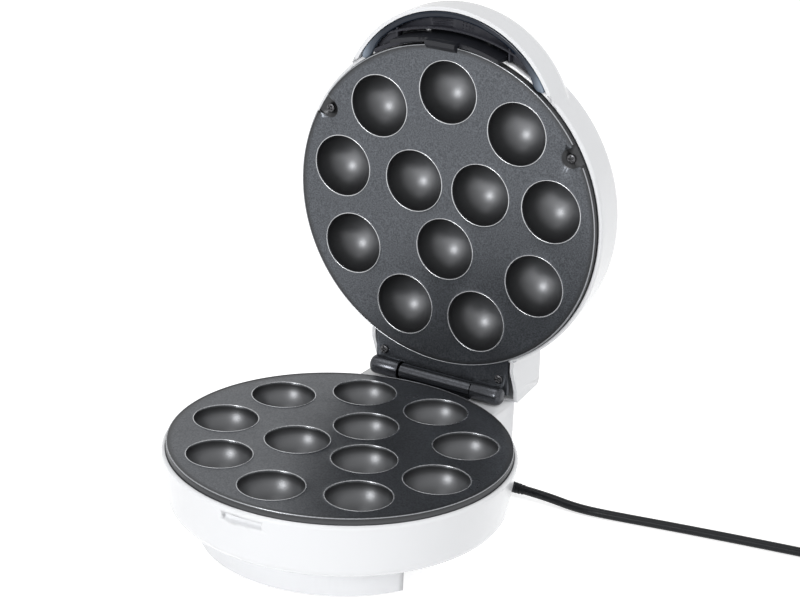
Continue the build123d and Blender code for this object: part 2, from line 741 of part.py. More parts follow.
def bottom_cover():
    """Disc under the drum with the hollow foot skirt round its front."""
    low_r = RIM_R - BASE_DRAFT * BASE_DEPTH
    disc_r = low_r - BASE_ROUND - BOTTOM_LIP_W - FIT
    disc = drum(disc_r, BASE_BOTTOM, BASE_BOTTOM + WALL)
    inner = FRONT_FOOT_R - FRONT_FOOT_W
    skirt = sector(inner, FRONT_FOOT_R, LEG_BOTTOM, BASE_BOTTOM + 1, FRONT_FOOT_HALF_ANGLE)
    turn = math.degrees(WALL / FRONT_FOOT_R)
    hollow = sector(
        inner + WALL,
        FRONT_FOOT_R - WALL,
        LEG_BOTTOM - 1,
        BASE_BOTTOM,
        FRONT_FOOT_HALF_ANGLE - turn,
    )
    pads = []
    cuts = []
    for x, y in front_pads():
        pads.append(drum(FOOT_PAD_R + WALL * 0.6, LEG_BOTTOM, BASE_BOTTOM, x, y) & skirt)
        cuts.append(drum(FOOT_PAD_R, LEG_BOTTOM - 1, LEG_BOTTOM + FOOT_PAD_SINK, x, y))
    cover = disc + [skirt - hollow] + pads
    cover -= block(-TOWER_HALF - FIT, TOWER_HALF + FIT, TOWER_FRONT - FIT, TOWER_BACK, TABLE_Z, 0)
    for angle in COVER_SCREW_ANGLES:
        x, y = polar(COVER_SCREW_RING_R, angle)
        cuts.append(drum(COVER_SCREW_R + FIT, BASE_BOTTOM - 1, BASE_BOTTOM + WALL + 1, x, y))
    return cover - cuts


def front_pads():
    radius = FRONT_FOOT_R - FRONT_FOOT_W / 2
    shift = math.degrees((FOOT_PAD_R + WALL + 1) / radius)
    angle = FRONT_FOOT_HALF_ANGLE - shift
    return [polar(radius, -90 - angle), polar(radius, -90 + angle)]


def rear_pads():
    return [(-REAR_PAD_X, REAR_PAD_Y), (REAR_PAD_X, REAR_PAD_Y)]


def tower_cover():
    """Flat cover in the tower's open underside, notched round the posts' screws and the lead."""
    plan = outline(
        [
            (-TOWER_HALF + WALL + FIT, TOWER_FRONT + WALL + FIT),
            (TOWER_HALF - WALL - FIT, TOWER_FRONT + WALL + FIT),
            (TOWER_HALF - WALL - FIT, TOWER_BACK - WALL - FIT),
            (-TOWER_HALF + WALL + FIT, TOWER_BACK - WALL - FIT),
        ],
        {2: TOWER_ROUND - WALL, 3: TOWER_ROUND - WALL},
    )
    cover = slab(plan, LEG_BOTTOM, LEG_BOTTOM + COVER_T)
    cuts = []
    for x in (-TOWER_POST_X, TOWER_POST_X):
        for y in TOWER_POST_Y:
            cuts.append(drum(COVER_SCREW_R + FIT, LEG_BOTTOM - 1, LEG_BOTTOM + COVER_T + 1, x, y))
            cuts.append(drum(COVER_SCREW_HEAD_R + FIT, LEG_BOTTOM - 1, LEG_BOTTOM + FOOT_PAD_SINK, x, y))
    for x, y in rear_pads():
        cuts.append(drum(FOOT_PAD_R, LEG_BOTTOM - 1, LEG_BOTTOM + FOOT_PAD_SINK, x, y))
    reach = RELIEF_BASE_R + FIT
    y0, y1 = CORD_EXIT_Y - reach, CORD_EXIT_Y + reach
    cuts.append(block(TOWER_HALF - COVER_NOTCH_L, TOWER_HALF, y0, y1, TABLE_Z, 0))
    return cover - cuts


def rubber_feet():
    pads = []
    for x, y in front_pads() + rear_pads():
        pad = outline(
            [
                (0, TABLE_Z),
                (FOOT_PAD_R - 0.6, TABLE_Z),
                (FOOT_PAD_R, TABLE_Z + 0.6),
                (FOOT_PAD_R, LEG_BOTTOM + FOOT_PAD_SINK),
                (0, LEG_BOTTOM + FOOT_PAD_SINK),
            ]
        )
        pads.append(turned(pad, x, y))
    return pads


# ---- hinge ----

def lid_hinge_bracket():
    """Cast bracket: flat leaf against the lid's rim and two outer knuckles on the pin."""
    plan = block(-LEAF_HALF, LEAF_HALF, TOWER_FRONT, LEAF_BACK, LEAF_BOTTOM, LEAF_TOP)
    leaf = plan - drum(SEAT_R + FIT, LEAF_BOTTOM - 1, LEAF_TOP + 1)
    knuckles = []
    cuts = []
    for side in (-1, 1):
        inner = side * (MIDDLE_KNUCKLE_HALF + KNUCKLE_GAP)
        outer = side * OUTER_KNUCKLE_END
        x0, x1 = min(inner, outer), max(inner, outer)
        knuckles.append(bar_x(OUTER_KNUCKLE_R, x0, x1, HINGE_Y, HINGE_Z))
        knuckles.append(block(x0, x1, HINGE_Y - OUTER_KNUCKLE_R * 0.8, LEAF_BACK, HINGE_Z, LEAF_BOTTOM + 1))
        cuts.append(bar_x(PIN_R, x0 - 1, x1 + 1, HINGE_Y, HINGE_Z))
        end = side * (OUTER_KNUCKLE_END - CAP_SPIGOT_L)
        cuts.append(bar_x(CAP_SPIGOT_R, min(end, outer + side), max(end, outer + side), HINGE_Y, HINGE_Z))
        x = side * BRACKET_SCREW_X
        cuts.append(drum(BRACKET_SCREW_R + FIT, LEAF_BOTTOM - 1, LEAF_TOP + 1, x, BRACKET_SCREW_Y))
    half = MIDDLE_KNUCKLE_HALF + KNUCKLE_GAP
    clear = bar_x(MIDDLE_KNUCKLE_R + RUN, -half, half, HINGE_Y, HINGE_Z)
    return leaf + knuckles - cuts - clear


def base_hinge_bracket():
    """Cast bracket on the tower: flange, web and the long middle knuckle."""
    knuckle = bar_x(MIDDLE_KNUCKLE_R, -MIDDLE_KNUCKLE_HALF, MIDDLE_KNUCKLE_HALF, HINGE_Y, HINGE_Z)
    web = block(-MIDDLE_KNUCKLE_HALF, MIDDLE_KNUCKLE_HALF, HINGE_Y - 2.4, HINGE_Y + 2.4, TOWER_TOP, HINGE_Z)
    flange = block(
        -MIDDLE_KNUCKLE_HALF,
        MIDDLE_KNUCKLE_HALF,
        RIM_R + RUN,
        BASE_BRACKET_SCREW_Y + 2.6,
        TOWER_TOP,
        TOWER_TOP + BASE_FLANGE_T,
    )
    holes = [bar_x(PIN_R + PIN_RUNNING, -MIDDLE_KNUCKLE_HALF - 1, MIDDLE_KNUCKLE_HALF + 1, HINGE_Y, HINGE_Z)]
    for x in BASE_BRACKET_SCREW_X:
        top = TOWER_TOP + BASE_FLANGE_T + 1
        holes.append(drum(BRACKET_SCREW_R + FIT, TOWER_TOP - 1, top, x, BASE_BRACKET_SCREW_Y))
    return (flange + web + knuckle) - holes


def hinge_pin():
    end = OUTER_KNUCKLE_END - CAP_SPIGOT_L
    return bar_x(PIN_R, -end, end, HINGE_Y, HINGE_Z)


def hinge_caps():
    """Domed caps that close the outer knuckles over the ends of the pin."""
    caps = []
    for side in (-1, 1):
        edge = outline(
            [
                (0, OUTER_KNUCKLE_END - CAP_SPIGOT_L),
                (CAP_SPIGOT_R, OUTER_KNUCKLE_END - CAP_SPIGOT_L),
                (CAP_SPIGOT_R, OUTER_KNUCKLE_END),
                (CAP_R, OUTER_KNUCKLE_END),
                (CAP_R, OUTER_KNUCKLE_END + CAP_LENGTH),
                (0, OUTER_KNUCKLE_END + CAP_LENGTH),
            ],
            {4: CAP_LENGTH - 0.3},
        )
        cap = Rot(Y=90 * side) * turned(edge)
        caps.append(Pos(0, HINGE_Y, HINGE_Z) * cap)
    return caps


# ---- handle and latch, drawn closed ----

def handle_trim():
    """Gloss crescent that closes the edge of the handle's bulge."""
    face = outline(
        [
            (HANDLE_R - FIT - TRIM_W, TRIM_BOTTOM),
            (HANDLE_R - FIT, TRIM_BOTTOM),
            (HANDLE_R - FIT, TRIM_TOP),
            (HANDLE_R - FIT - TRIM_W, TRIM_TOP),
        ],
        {0: 1.0, 1: 1.0},
    )
    ring = turned(face, 0, HANDLE_Y)
    keep = block(-TRIM_HALF, TRIM_HALF, HANDLE_FRONT, TRIM_BACK, TRIM_BOTTOM - 1, TRIM_TOP + 1)
    return (ring & keep) - drum(RIM_R + FIT, TRIM_BOTTOM - 1, TRIM_TOP + 1)


def handle_liner():
    """Matt liner of the finger space, with three short grip ribs, between the trim and the latch slot."""
    low = TRIM_BOTTOM + LINER_STEP
    plan = drum(HANDLE_R - FIT - TRIM_W - 0.1, low, low + LINER_T, 0, HANDLE_Y)
    plan -= drum(LATCH_SLOT_R, low - 1, low + LINER_T + 1)
    plan = plan & block(-LINER_HALF, LINER_HALF, HANDLE_FRONT, LINER_BACK, low, low + LINER_T)
    lip_low = TRIM_BOTTOM + 1
    lip = drum(LATCH_SLOT_R + LINER_LIP, lip_low, low + LINER_T)
    lip -= drum(LATCH_SLOT_R, lip_low - 1, low + LINER_T + 1)
    lip = lip & block(-LINER_HALF, LINER_HALF, HANDLE_FRONT, LINER_BACK, lip_low, low + LINER_T)
    lip = lip & drum(HANDLE_R - FIT - TRIM_W - 0.1, lip_low, low + LINER_T, 0, HANDLE_Y)
    ribs = []
    for k in range(GRIP_RIBS):
        radius = GRIP_R - k * GRIP_RIB_PITCH
        r0, r1 = radius - GRIP_RIB_W / 2, radius + GRIP_RIB_W / 2
        face = outline([(r0, low - GRIP_RIB_H), (r1, low - GRIP_RIB_H), (r1, low), (r0, low)])
        rib = Rot(Z=-90 - GRIP_RIB_SPAN - GRIP_RIB_START) * revolve(Plane.XZ * face, Axis.Z, GRIP_RIB_SPAN)
        ribs.append(Pos(0, HANDLE_Y, 0) * rib)
    return plan + [lip] + ribs


def latch_lever():
    """Curved latch bar with its pivot barrel, two arms and the hook in the middle."""
    inner_r = RIM_R + LATCH_RUN
    outer_r = inner_r + LATCH_T
    bar = drum(outer_r, LATCH_BOTTOM, LATCH_TOP) - drum(inner_r, LATCH_BOTTOM - 1, LATCH_TOP + 1)
    bar = bar & block(-LATCH_HALF, LATCH_HALF, -outer_r - 1, 0, LATCH_BOTTOM, LATCH_TOP)
    half = EAR_X - LATCH_SIDE_RUN
    arms = []
    for side in (-1, 1):
        x0, x1 = sorted((side * LATCH_SPRING_HALF, side * half))
        arms.append(bar_x(LATCH_BARREL_R, x0, x1, LATCH_PIVOT_Y, LATCH_PIVOT_Z))
        web = block(x0, x1, -outer_r, -RIM_R, LATCH_TOP - 2, LATCH_PIVOT_Z)
        arms.append(web & drum(outer_r, LATCH_TOP - 2, LATCH_PIVOT_Z))
    tooth_side = outline(
        [
            (-outer_r + 0.4, LATCH_BOTTOM + 1),
            (-inner_r + 0.4, LATCH_BOTTOM + 1),
            (-inner_r + 0.4, CATCH_TOP - FIT),
            (-inner_r + HOOK_REACH, CATCH_TOP - FIT),
            (-inner_r + HOOK_REACH, CATCH_TOP - FIT - 1.4),
            (-inner_r + 0.6, LATCH_BOTTOM - HOOK_DROP),
            (-outer_r + 0.4, LATCH_BOTTOM - HOOK_DROP),
        ],
        {6: 0.6},
    )
    tooth = along_x(tooth_side, HOOK_HALF)
    holes = bar_x(LATCH_PIN_R + PIN_RUNNING, -half - 1, half + 1, LATCH_PIVOT_Y, LATCH_PIVOT_Z)
    return (bar + arms + [tooth]) - holes


def latch_pin():
    end = EAR_X + EAR_T
    return bar_x(LATCH_PIN_R, -end, end, LATCH_PIVOT_Y, LATCH_PIVOT_Z)


def latch_spring():
    """Wound torsion spring round the pin: open turns with one leg on the lid and one on the bar."""
    turns = LATCH_SPRING_TURNS
    pitch = LATCH_SPRING_PITCH
    radius = LATCH_SPRING_R
    points = []
    tangents = []
    for k in range(turns * 4 + 1):
        angle = math.radians(90 * k)
        x = -turns * pitch / 2 + pitch * k / 4
        y = LATCH_PIVOT_Y - radius * math.cos(angle)
        points.append(Vector(x, y, LATCH_PIVOT_Z - radius * math.sin(angle)))
        step = pitch / 4 / (math.pi / 2)
        tangents.append(Vector(step, radius * math.sin(angle), -radius * math.cos(angle)).normalized())
    edges = biarcs(points, tangents)
    edges.insert(0, Line(points[0] - tangents[0] * LATCH_SPRING_LEG, points[0]))
    edges.append(Line(points[-1], points[-1] + tangents[-1] * LATCH_SPRING_LEG))
    return tube(Wire(edges), LATCH_WIRE_R)


def biarcs(points, tangents):
    """Two tangent arcs between each pair of points, with the given directions at the points."""
    edges = []
    for a, b, ta, tb in zip(points, points[1:], tangents, tangents[1:]):
        v = b - a
        total = ta + tb
        k2 = 2 * (ta.dot(tb) - 1)
        k1 = -2 * v.dot(total)
        k0 = v.dot(v)
        if abs(k2) < 1e-9:
            d = -k0 / k1
        else:
            root = math.sqrt(k1 * k1 - 4 * k2 * k0)
            d = max((-k1 - root) / (2 * k2), (-k1 + root) / (2 * k2))
            if (-k1 - root) / (2 * k2) > 0 and (-k1 + root) / (2 * k2) > 0:
                d = min((-k1 - root) / (2 * k2), (-k1 + root) / (2 * k2))
        q1 = a + ta * d
        q2 = b - tb * d
        middle = (q1 + q2) / 2
        edges.append(TangentArc([a, middle], tangent=ta))
        edges.append(TangentArc([middle, b], tangent=(q2 - q1).normalized()))
    return edges


def tube(path, radius):
    """A round tube along a wire, at the default transition."""
    start = path @ 0
    return sweep(Plane(origin=start, z_dir=path % 0) * Circle(radius), path=path)


# ---- electrics ----

def thermostat():
    """Snap disc thermostat on the rib in the heater's gap, with a mounting ear and two tabs."""
    top = -HEATER_Z - FIT
    low = top - THERMOSTAT_H
    body = drum(THERMOSTAT_R, low, top, 0, HEATER_RING_R)
    cap = drum(THERMOSTAT_R * 0.72, low - 2, low, 0, HEATER_RING_R)
    tabs = [block(x - 2, x + 2, HEATER_RING_R - 0.4, HEATER_RING_R + 0.4, low - 2, low + 0.5) for x in (-4, 4)]
    return body + [cap] + tabs


def thermal_fuse():
    """Small axial fuse with its two leads, clipped to the reflector's floor."""
    z = REFLECTOR_FLOOR - REFLECTOR_T - FUSE_R
    body = bar_x(FUSE_R, -FUSE_L / 2, FUSE_L / 2, FUSE_Y, z)
    leads = bar_x(0.5, -FUSE_L / 2 - 6, FUSE_L / 2 + 6, FUSE_Y, z)
    return body + leads


def terminal_block():
    """Two-way screw block on the floor of the tower."""
    x0 = -TERMINAL_L / 2
    low = LEG_BOTTOM + COVER_T
    body = block(x0, -x0, TERMINAL_Y, TERMINAL_Y + TERMINAL_W, low, low + TERMINAL_H)
    cuts = []
    y = TERMINAL_Y + TERMINAL_W / 2
    for x in (-TERMINAL_L / 4, TERMINAL_L / 4):
        cuts.append(drum(1.8, low + TERMINAL_H - 3, low + TERMINAL_H + 1, x, y))
        cuts.append(Pos(x, y, low + TERMINAL_H * 0.4) * Rot(X=90) * Cylinder(1.7, TERMINAL_W + 2))
    return body - cuts


def inner_lead():
    """The lead's inner end, from the strain relief through the clamp to the terminal block."""
    z = CORD_EXIT_Z
    low = LEG_BOTTOM + COVER_T
    end_x = TERMINAL_L / 2 + FIT
    end_z = low + TERMINAL_H * 0.4
    path = bend_line(
        [
            (TOWER_HALF - WALL - RELIEF_FLANGE_T, CORD_EXIT_Y, z),
            (TOWER_HALF - WALL - RELIEF_FLANGE_T - 10, CORD_EXIT_Y, z),
            (end_x + 13, TERMINAL_Y + TERMINAL_W / 2, end_z),
            (end_x, TERMINAL_Y + TERMINAL_W / 2, end_z),
        ]
    )
    return tube(path, CORD_R)


def cord_strain_relief():
    """Moulded relief: flange inside the wall, neck in the slot and tapered, ringed tail outside."""
    x0 = TOWER_HALF - WALL - RELIEF_FLANGE_T
    x1 = TOWER_HALF
    tail = outline(
        [
            (0, x0),
            (RELIEF_BASE_R, x0),
            (RELIEF_BASE_R, x0 + RELIEF_FLANGE_T),
            (RELIEF_NECK_R - 0.05, x0 + RELIEF_FLANGE_T),
            (RELIEF_NECK_R - 0.05, x1 + 0.1),
            (RELIEF_BASE_R, x1 + 0.1),
            (RELIEF_BASE_R, x1 + 3),
            (CORD_R + 0.35, x1 + RELIEF_LENGTH),
            (0, x1 + RELIEF_LENGTH),
        ]
    )
    return Pos(0, CORD_EXIT_Y, CORD_EXIT_Z) * Rot(Y=90) * turned(tail)


def bend_line(points):
    """Straight runs joined by the largest tangent arcs that the runs allow."""
    points = [Vector(*p) for p in points]
    radii = []
    for a, b, c in zip(points, points[1:], points[2:]):
        turn = (b - a).get_angle(c - b)
        shorter = min((b - a).length, (c - b).length)
        radii.append(0.45 * shorter / math.tan(math.radians(turn) / 2))
    print("bend radii", [round(r, 1) for r in radii])
    edges = []
    last = points[0]
    for k, radius in enumerate(radii):
        a, b, c = points[k], points[k + 1], points[k + 2]
        d1 = (b - a).normalized()
        d2 = (c - b).normalized()
        reach = 0.45 * min((b - a).length, (c - b).length)
        start = b - d1 * reach
        end = b + d2 * reach
        edges.append(Line(last, start))
        edges.append(TangentArc([start, end], tangent=d1))
        last = end
    edges.append(Line(last, points[-1]))
    return Wire(edges)


def cord_route():
    """Points of the lead from the relief's end, over the table, to where the coil begins."""
    level = TABLE_Z + CORD_R + 0.1
    first, direction = coil_turn(0)
    before = first - direction * (CORD_COIL_RUN + 2 * CORD_R)
    return [
        (TOWER_HALF + RELIEF_LENGTH, CORD_EXIT_Y, CORD_EXIT_Z),
        (TOWER_HALF + RELIEF_LENGTH + 15.5, CORD_EXIT_Y, CORD_EXIT_Z),
        (112.0, 113.0, level),
        (137.0, 116.8, level),
        (170.0, 123.8, level),
        (212.0, 131.9, level),
        (before.X, before.Y, before.Z),
        coil_ends()[0],
    ]


def coil_turn(k):
    """Point and direction of the coil after k quarter turns."""
    start = COIL_START_ANGLE
    angle = math.radians(start + 90 * k)
    radius = COIL_R + COIL_DRIFT * math.sin(math.pi * k / (2 * COIL_TURNS))
    grow = COIL_DRIFT * math.cos(math.pi * k / (2 * COIL_TURNS)) / COIL_TURNS
    z = TABLE_Z + CORD_R + 0.1 + COIL_PITCH * k / 4
    rise = 0 if k in (0, 4 * COIL_TURNS) else COIL_PITCH / (2 * math.pi)
    point = Vector(COIL_X + radius * math.cos(angle), COIL_Y + radius * math.sin(angle), z)
    out = Vector(math.cos(angle), math.sin(angle), 0)
    along = Vector(-math.sin(angle), math.cos(angle), 0)
    direction = along * radius + out * grow + Vector(0, 0, rise)
    return point, direction.normalized()


def coil_ends():
    first, d0 = coil_turn(0)
    last, d1 = coil_turn(4 * COIL_TURNS)
    a = first - d0 * 2 * CORD_R
    b = last + d1 * 2 * CORD_R
    return (a.X, a.Y, a.Z), (b.X, b.Y, b.Z)


def cord_coil():
    """The spare lead, wound in level turns that rise one on another, as one unbroken tube."""
    pairs = [coil_turn(k) for k in range(4 * COIL_TURNS + 1)]
    points = [p for p, d in pairs]
    tangents = [d for p, d in pairs]
    a, b = coil_ends()
    edges = [Line(Vector(*a), points[0])] + biarcs(points, tangents) + [Line(points[-1], Vector(*b))]
    wire = Wire(edges)
    samples = [wire @ (i / 600) for i in range(601)]
    step = wire.length / 600
    skip = int(6 * CORD_R / step) + 1
    gap = min(
        (samples[i] - samples[j]).length for i in range(601) for j in range(i + skip, 601)
    )
    print("coil length", round(wire.length, 1), "least gap to itself", round(gap - 2 * CORD_R, 2))
    return tube(wire, CORD_R), wire.length


def tail_route():
    """Points of the lead from the coil's end down to the plug."""
    last, direction = coil_turn(4 * COIL_TURNS)
    after = last + direction * (CORD_TAIL_RUN + 2 * CORD_R)
    level = TABLE_Z + PLUG_R + 0.2
    return [
        coil_ends()[1],
        (after.X, after.Y, after.Z),
        (366.0, 156.4, level + 4.5),
        (PLUG_X - 18.0, PLUG_Y, level),
        (PLUG_X, PLUG_Y, level),
    ]


def plug():
    """Moulded plug with a waisted grip, a flat face and two flat blades."""
    grip = outline(
        [
            (0, 0),
            (CORD_R + 0.5, 0),
            (PLUG_R * 0.72, PLUG_LENGTH * 0.28),
            (PLUG_R * 0.66, PLUG_LENGTH * 0.5),
            (PLUG_R, PLUG_LENGTH * 0.78),
            (PLUG_R, PLUG_LENGTH),
            (0, PLUG_LENGTH),
        ],
        {4: 2.5},
    )
    body = turned(grip)
    for side in (-1, 1):
        x = side * BLADE_PITCH / 2
        body += block(x - 0.75, x + 0.75, -3.2, 3.2, PLUG_LENGTH - 1, PLUG_LENGTH + BLADE_L)
    return Pos(PLUG_X, PLUG_Y, TABLE_Z + PLUG_R + 0.2) * Rot(Y=90) * body


def cord_clamp():
    """Bar clamp over the inner lead on two of the tower cover's pads."""
    x = TOWER_HALF - WALL - RELIEF_FLANGE_T - 8
    top = CORD_EXIT_Z + CORD_R
    bar = block(x - 3, x + 3, CORD_EXIT_Y - 9, CORD_EXIT_Y + 9, top + 1.2, top + 3.4)
    legs = []
    for side in (-1, 1):
        y0, y1 = sorted((CORD_EXIT_Y + side * 5.2, CORD_EXIT_Y + side * 9))
        legs.append(block(x - 3, x + 3, y0, y1, LEG_BOTTOM + COVER_T, top + 2))
    return bar + legs


# ---- lamps on the lid ----

def pilot_lamp_lenses():
    lenses = []
    for x in (-LAMP_X, LAMP_X):
        face = outline(
            [
                (0, LAMP_SEAT - WALL - FIT),
                (LAMP_R - 0.1, LAMP_SEAT - WALL - FIT),
                (LAMP_R - 0.1, LAMP_SEAT + LAMP_PROUD),
                (0, LAMP_SEAT + LAMP_PROUD),
            ],
            {2: 1.0},
        )
        lenses.append(turned(face, x, LAMP_Y))
    return lenses


def pilot_lamp_holder():
    """Clip strip under the lid's top with a lamp under each lens."""
    top = LAMP_SEAT - WALL - FIT
    strip = block(-LAMP_X - 8, LAMP_X + 8, LAMP_Y - 5, LAMP_Y + 5, top - 3, top)
    for x in (-LAMP_X, LAMP_X):
        strip -= drum(LAMP_R - 1, top - 1.5, top + 1, x, LAMP_Y)
    bulbs = [drum(LAMP_R - 1.4, top - 8, top - 3, x, LAMP_Y) for x in (-LAMP_X, LAMP_X)]
    return strip + bulbs


# ---- fasteners ----

def lower_plate_screws():
    screws = []
    length = -LUG_BOTTOM - PLATE_T / 2 - 1.2
    for angle in FIXING_ANGLES:
        x, y = polar(SCREW_RING_R, angle)
        screws.append(Pos(x, y, LUG_BOTTOM) * pan_screw(PLATE_SCREW_R, PLATE_SCREW_HEAD_R, length))
    return screws


def upper_plate_screws():
    screws = []
    for angle in TAB_ANGLES:
        x, y = polar(SCREW_RING_R, angle)
        screw = pan_screw(PLATE_SCREW_R, PLATE_SCREW_HEAD_R, -LUG_BOTTOM - TAB_POCKET_DEPTH + 4)
        screws.append(Pos(x, y, PLATE_GAP + TAB_POCKET_DEPTH) * screw)
    return screws


def lid_bracket_screws():
    screws = []
    for x in (-BRACKET_SCREW_X, BRACKET_SCREW_X):
        screw = pan_screw(BRACKET_SCREW_R, BRACKET_SCREW_HEAD_R, BRACKET_SCREW_L)
        screws.append(Pos(x, BRACKET_SCREW_Y, LEAF_BOTTOM) * screw)
    return screws


def base_bracket_screws():
    screws = []
    for x in BASE_BRACKET_SCREW_X:
        screw = Rot(X=180) * pan_screw(BRACKET_SCREW_R, BASE_SCREW_HEAD_R, BASE_FLANGE_T + WALL + 1)
        screws.append(Pos(x, BASE_BRACKET_SCREW_Y, TOWER_TOP + BASE_FLANGE_T) * screw)
    return screws


def bottom_cover_screws():
    screws = []
    for angle in COVER_SCREW_ANGLES:
        x, y = polar(COVER_SCREW_RING_R, angle)
        screw = pan_screw(COVER_SCREW_R, COVER_SCREW_HEAD_R, WALL + COVER_TAB_H - 1.5)
        screws.append(Pos(x, y, BASE_BOTTOM) * screw)
    return screws


def tower_cover_screws():
    screws = []
    for x in (-TOWER_POST_X, TOWER_POST_X):
        for y in TOWER_POST_Y:
            screw = pan_screw(COVER_SCREW_R, COVER_SCREW_HEAD_R, COVER_T + 6)
            screws.append(Pos(x, y, LEG_BOTTOM + FOOT_PAD_SINK) * screw)
    return screws


# ---- assembly ----

def opened(shape):
    """Turns a closed lid piece open about the hinge axis."""
    return Pos(0, HINGE_Y, HINGE_Z) * Rot(X=-OPEN_ANGLE) * Pos(0, -HINGE_Y, -HINGE_Z) * shape


def solids_of(shape):
    items = shape if isinstance(shape, list) else [shape]
    found = []
    for item in items:
        found += list(item.solids())
    return found


def main():
    """Builds every node, moves the origin to the bottom centre and writes one file per node."""
    route = cord_route()
    free = bend_line(route)
    coil, coil_length = cord_coil()
    tail = bend_line(tail_route())
    base = {
        "base_shell": base_shell(),
        "bottom_cover": bottom_cover(),
        "bottom_cover_screws": bottom_cover_screws(),
        "tower_cover": tower_cover(),
        "tower_cover_screws": tower_cover_screws(),
        "rubber_feet": rubber_feet(),
        "lower_plate": plate(False),
        "lower_plate_screws": lower_plate_screws(),
        "lower_heating_element": heater(),
        "lower_reflector": reflector(),
        "thermostat": thermostat(),
        "thermal_fuse": thermal_fuse(),
        "terminal_block": terminal_block(),
        "inner_lead": inner_lead(),
        "cord_clamp": cord_clamp(),
        "cord_strain_relief": cord_strain_relief(),
        "base_hinge_bracket": base_hinge_bracket(),
        "base_bracket_screws": base_bracket_screws(),
    }
    cord = {
        "power_cord": tube(free, CORD_R),
        "cord_coil": coil,
        "cord_tail": tube(tail, CORD_R),
        "plug": plug(),
    }
    lid = {
        "lid_shell": lid_shell(),
        "upper_plate": upper(plate(True)),
        "upper_plate_screws": upper_plate_screws(),
        "upper_heating_element": upper(heater()),
        "upper_reflector": upper(reflector()),
        "lid_hinge_bracket": lid_hinge_bracket(),
        "lid_bracket_screws": lid_bracket_screws(),
        "hinge_pin": hinge_pin(),
        "hinge_caps": hinge_caps(),
        "handle_trim": handle_trim(),
        "handle_liner": handle_liner(),
        "latch_pin": latch_pin(),
        "pilot_lamp_lenses": pilot_lamp_lenses(),
        "pilot_lamp_holder": pilot_lamp_holder(),
        "latch_lever": latch_lever(),
        "latch_spring": latch_spring(),
    }
    nodes = {}
    for name, shape in base.items():
        nodes[name] = solids_of(shape)
    for name, shape in lid.items():
        nodes[name] = [opened(solid) for solid in solids_of(shape)]
    boxes = [solid.bounding_box() for parts in nodes.values() for solid in parts]
    x_shift = -(min(b.min.X for b in boxes) + max(b.max.X for b in boxes)) / 2
    y_shift = -(min(b.min.Y for b in boxes) + max(b.max.Y for b in boxes)) / 2
    z_shift = -min(b.min.Z for b in boxes)
    for name, shape in cord.items():
        nodes[name] = solids_of(shape)
    print("shift", round(x_shift, 4), round(y_shift, 4), round(z_shift, 4))
    for name, path in (("power_cord", free), ("cord_tail", tail)):
        volume = sum(solid.volume for solid in nodes[name])
        ideal = math.pi * CORD_R**2 * path.length
        print(name, "length", round(path.length, 1), "volume ratio", round(volume / ideal, 4))
    volume = sum(solid.volume for solid in nodes["cord_coil"])
    print("cord_coil volume ratio", round(volume / (math.pi * CORD_R**2 * coil_length), 4))
    print("lead in all", round(free.length + coil_length + tail.length, 1))
    hinge = (x_shift, HINGE_Y + y_shift, HINGE_Z + z_shift)
    pivot = opened(Sphere(1).moved(Pos(0, LATCH_PIVOT_Y, LATCH_PIVOT_Z))).center()
    print("hinge", [round(v, 4) for v in hinge])
    print("latch pivot", [round(v, 4) for v in (pivot.X + x_shift, pivot.Y + y_shift, pivot.Z + z_shift)])
    os.makedirs("parts", exist_ok=True)
    for name, parts in nodes.items():
        moved = [Pos(x_shift, y_shift, z_shift) * solid for solid in parts]
        whole = moved[0] if len(moved) == 1 else Compound(children=moved)
        export_step(whole, os.path.join("parts", name + ".step"))


if __name__ == "__main__":
    main()
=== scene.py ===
"""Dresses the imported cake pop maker: casings, plates, hinge, handle, latch, screws, lead and studio."""

import json
import math

import bmesh
import bpy
import numpy as np
from bpy.props import FloatProperty, FloatVectorProperty, IntProperty, PointerProperty
from bpy.types import Operator, Panel, PropertyGroup
from mathutils import Matrix, Vector


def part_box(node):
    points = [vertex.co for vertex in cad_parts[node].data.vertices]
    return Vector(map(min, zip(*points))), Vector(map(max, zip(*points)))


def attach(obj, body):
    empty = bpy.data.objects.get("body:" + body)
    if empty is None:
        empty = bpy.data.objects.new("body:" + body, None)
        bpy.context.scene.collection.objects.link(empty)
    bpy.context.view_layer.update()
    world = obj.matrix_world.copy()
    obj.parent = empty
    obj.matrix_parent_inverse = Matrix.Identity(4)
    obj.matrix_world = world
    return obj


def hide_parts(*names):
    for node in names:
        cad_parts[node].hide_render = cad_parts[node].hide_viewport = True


bl_info = {
    "name": "Cake Pop Maker",
    "version": (1, 0, 0),
    "blender": (4, 5, 0),
    "location": "View3D > Sidebar > Cake Pop",
    "description": "Builds the dressed pieces of a round cake pop maker on its packed frame",
    "category": "Object",
}

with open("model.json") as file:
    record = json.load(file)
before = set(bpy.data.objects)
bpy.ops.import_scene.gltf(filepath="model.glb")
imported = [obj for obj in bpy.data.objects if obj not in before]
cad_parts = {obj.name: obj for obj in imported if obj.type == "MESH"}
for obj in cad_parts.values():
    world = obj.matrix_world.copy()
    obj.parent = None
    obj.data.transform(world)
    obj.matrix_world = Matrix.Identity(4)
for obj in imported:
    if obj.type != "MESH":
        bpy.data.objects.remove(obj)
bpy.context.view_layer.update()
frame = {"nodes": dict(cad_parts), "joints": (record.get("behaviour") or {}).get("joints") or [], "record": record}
NODES = frame["nodes"]
BODY_OF = {node: body for body, nodes in frame["record"]["behaviour"]["bodies"].items() for node in nodes}
SLOT_OF = {part["node"]: part["material_slot"] for part in frame["record"]["subparts"]}
HINGE = next(joint for joint in frame["joints"] if joint["name"] == "lid_hinge")
PIVOT = Vector(HINGE["pos_m"])
OPEN_TURN = math.radians(HINGE["range_deg"][1])
PLATE_LOW, PLATE_HIGH = (Vector(corner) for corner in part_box("lower_plate"))
BEAD = 0.00032
# Between the two plates' faces when the lid is closed
PLATE_GAP = 0.001
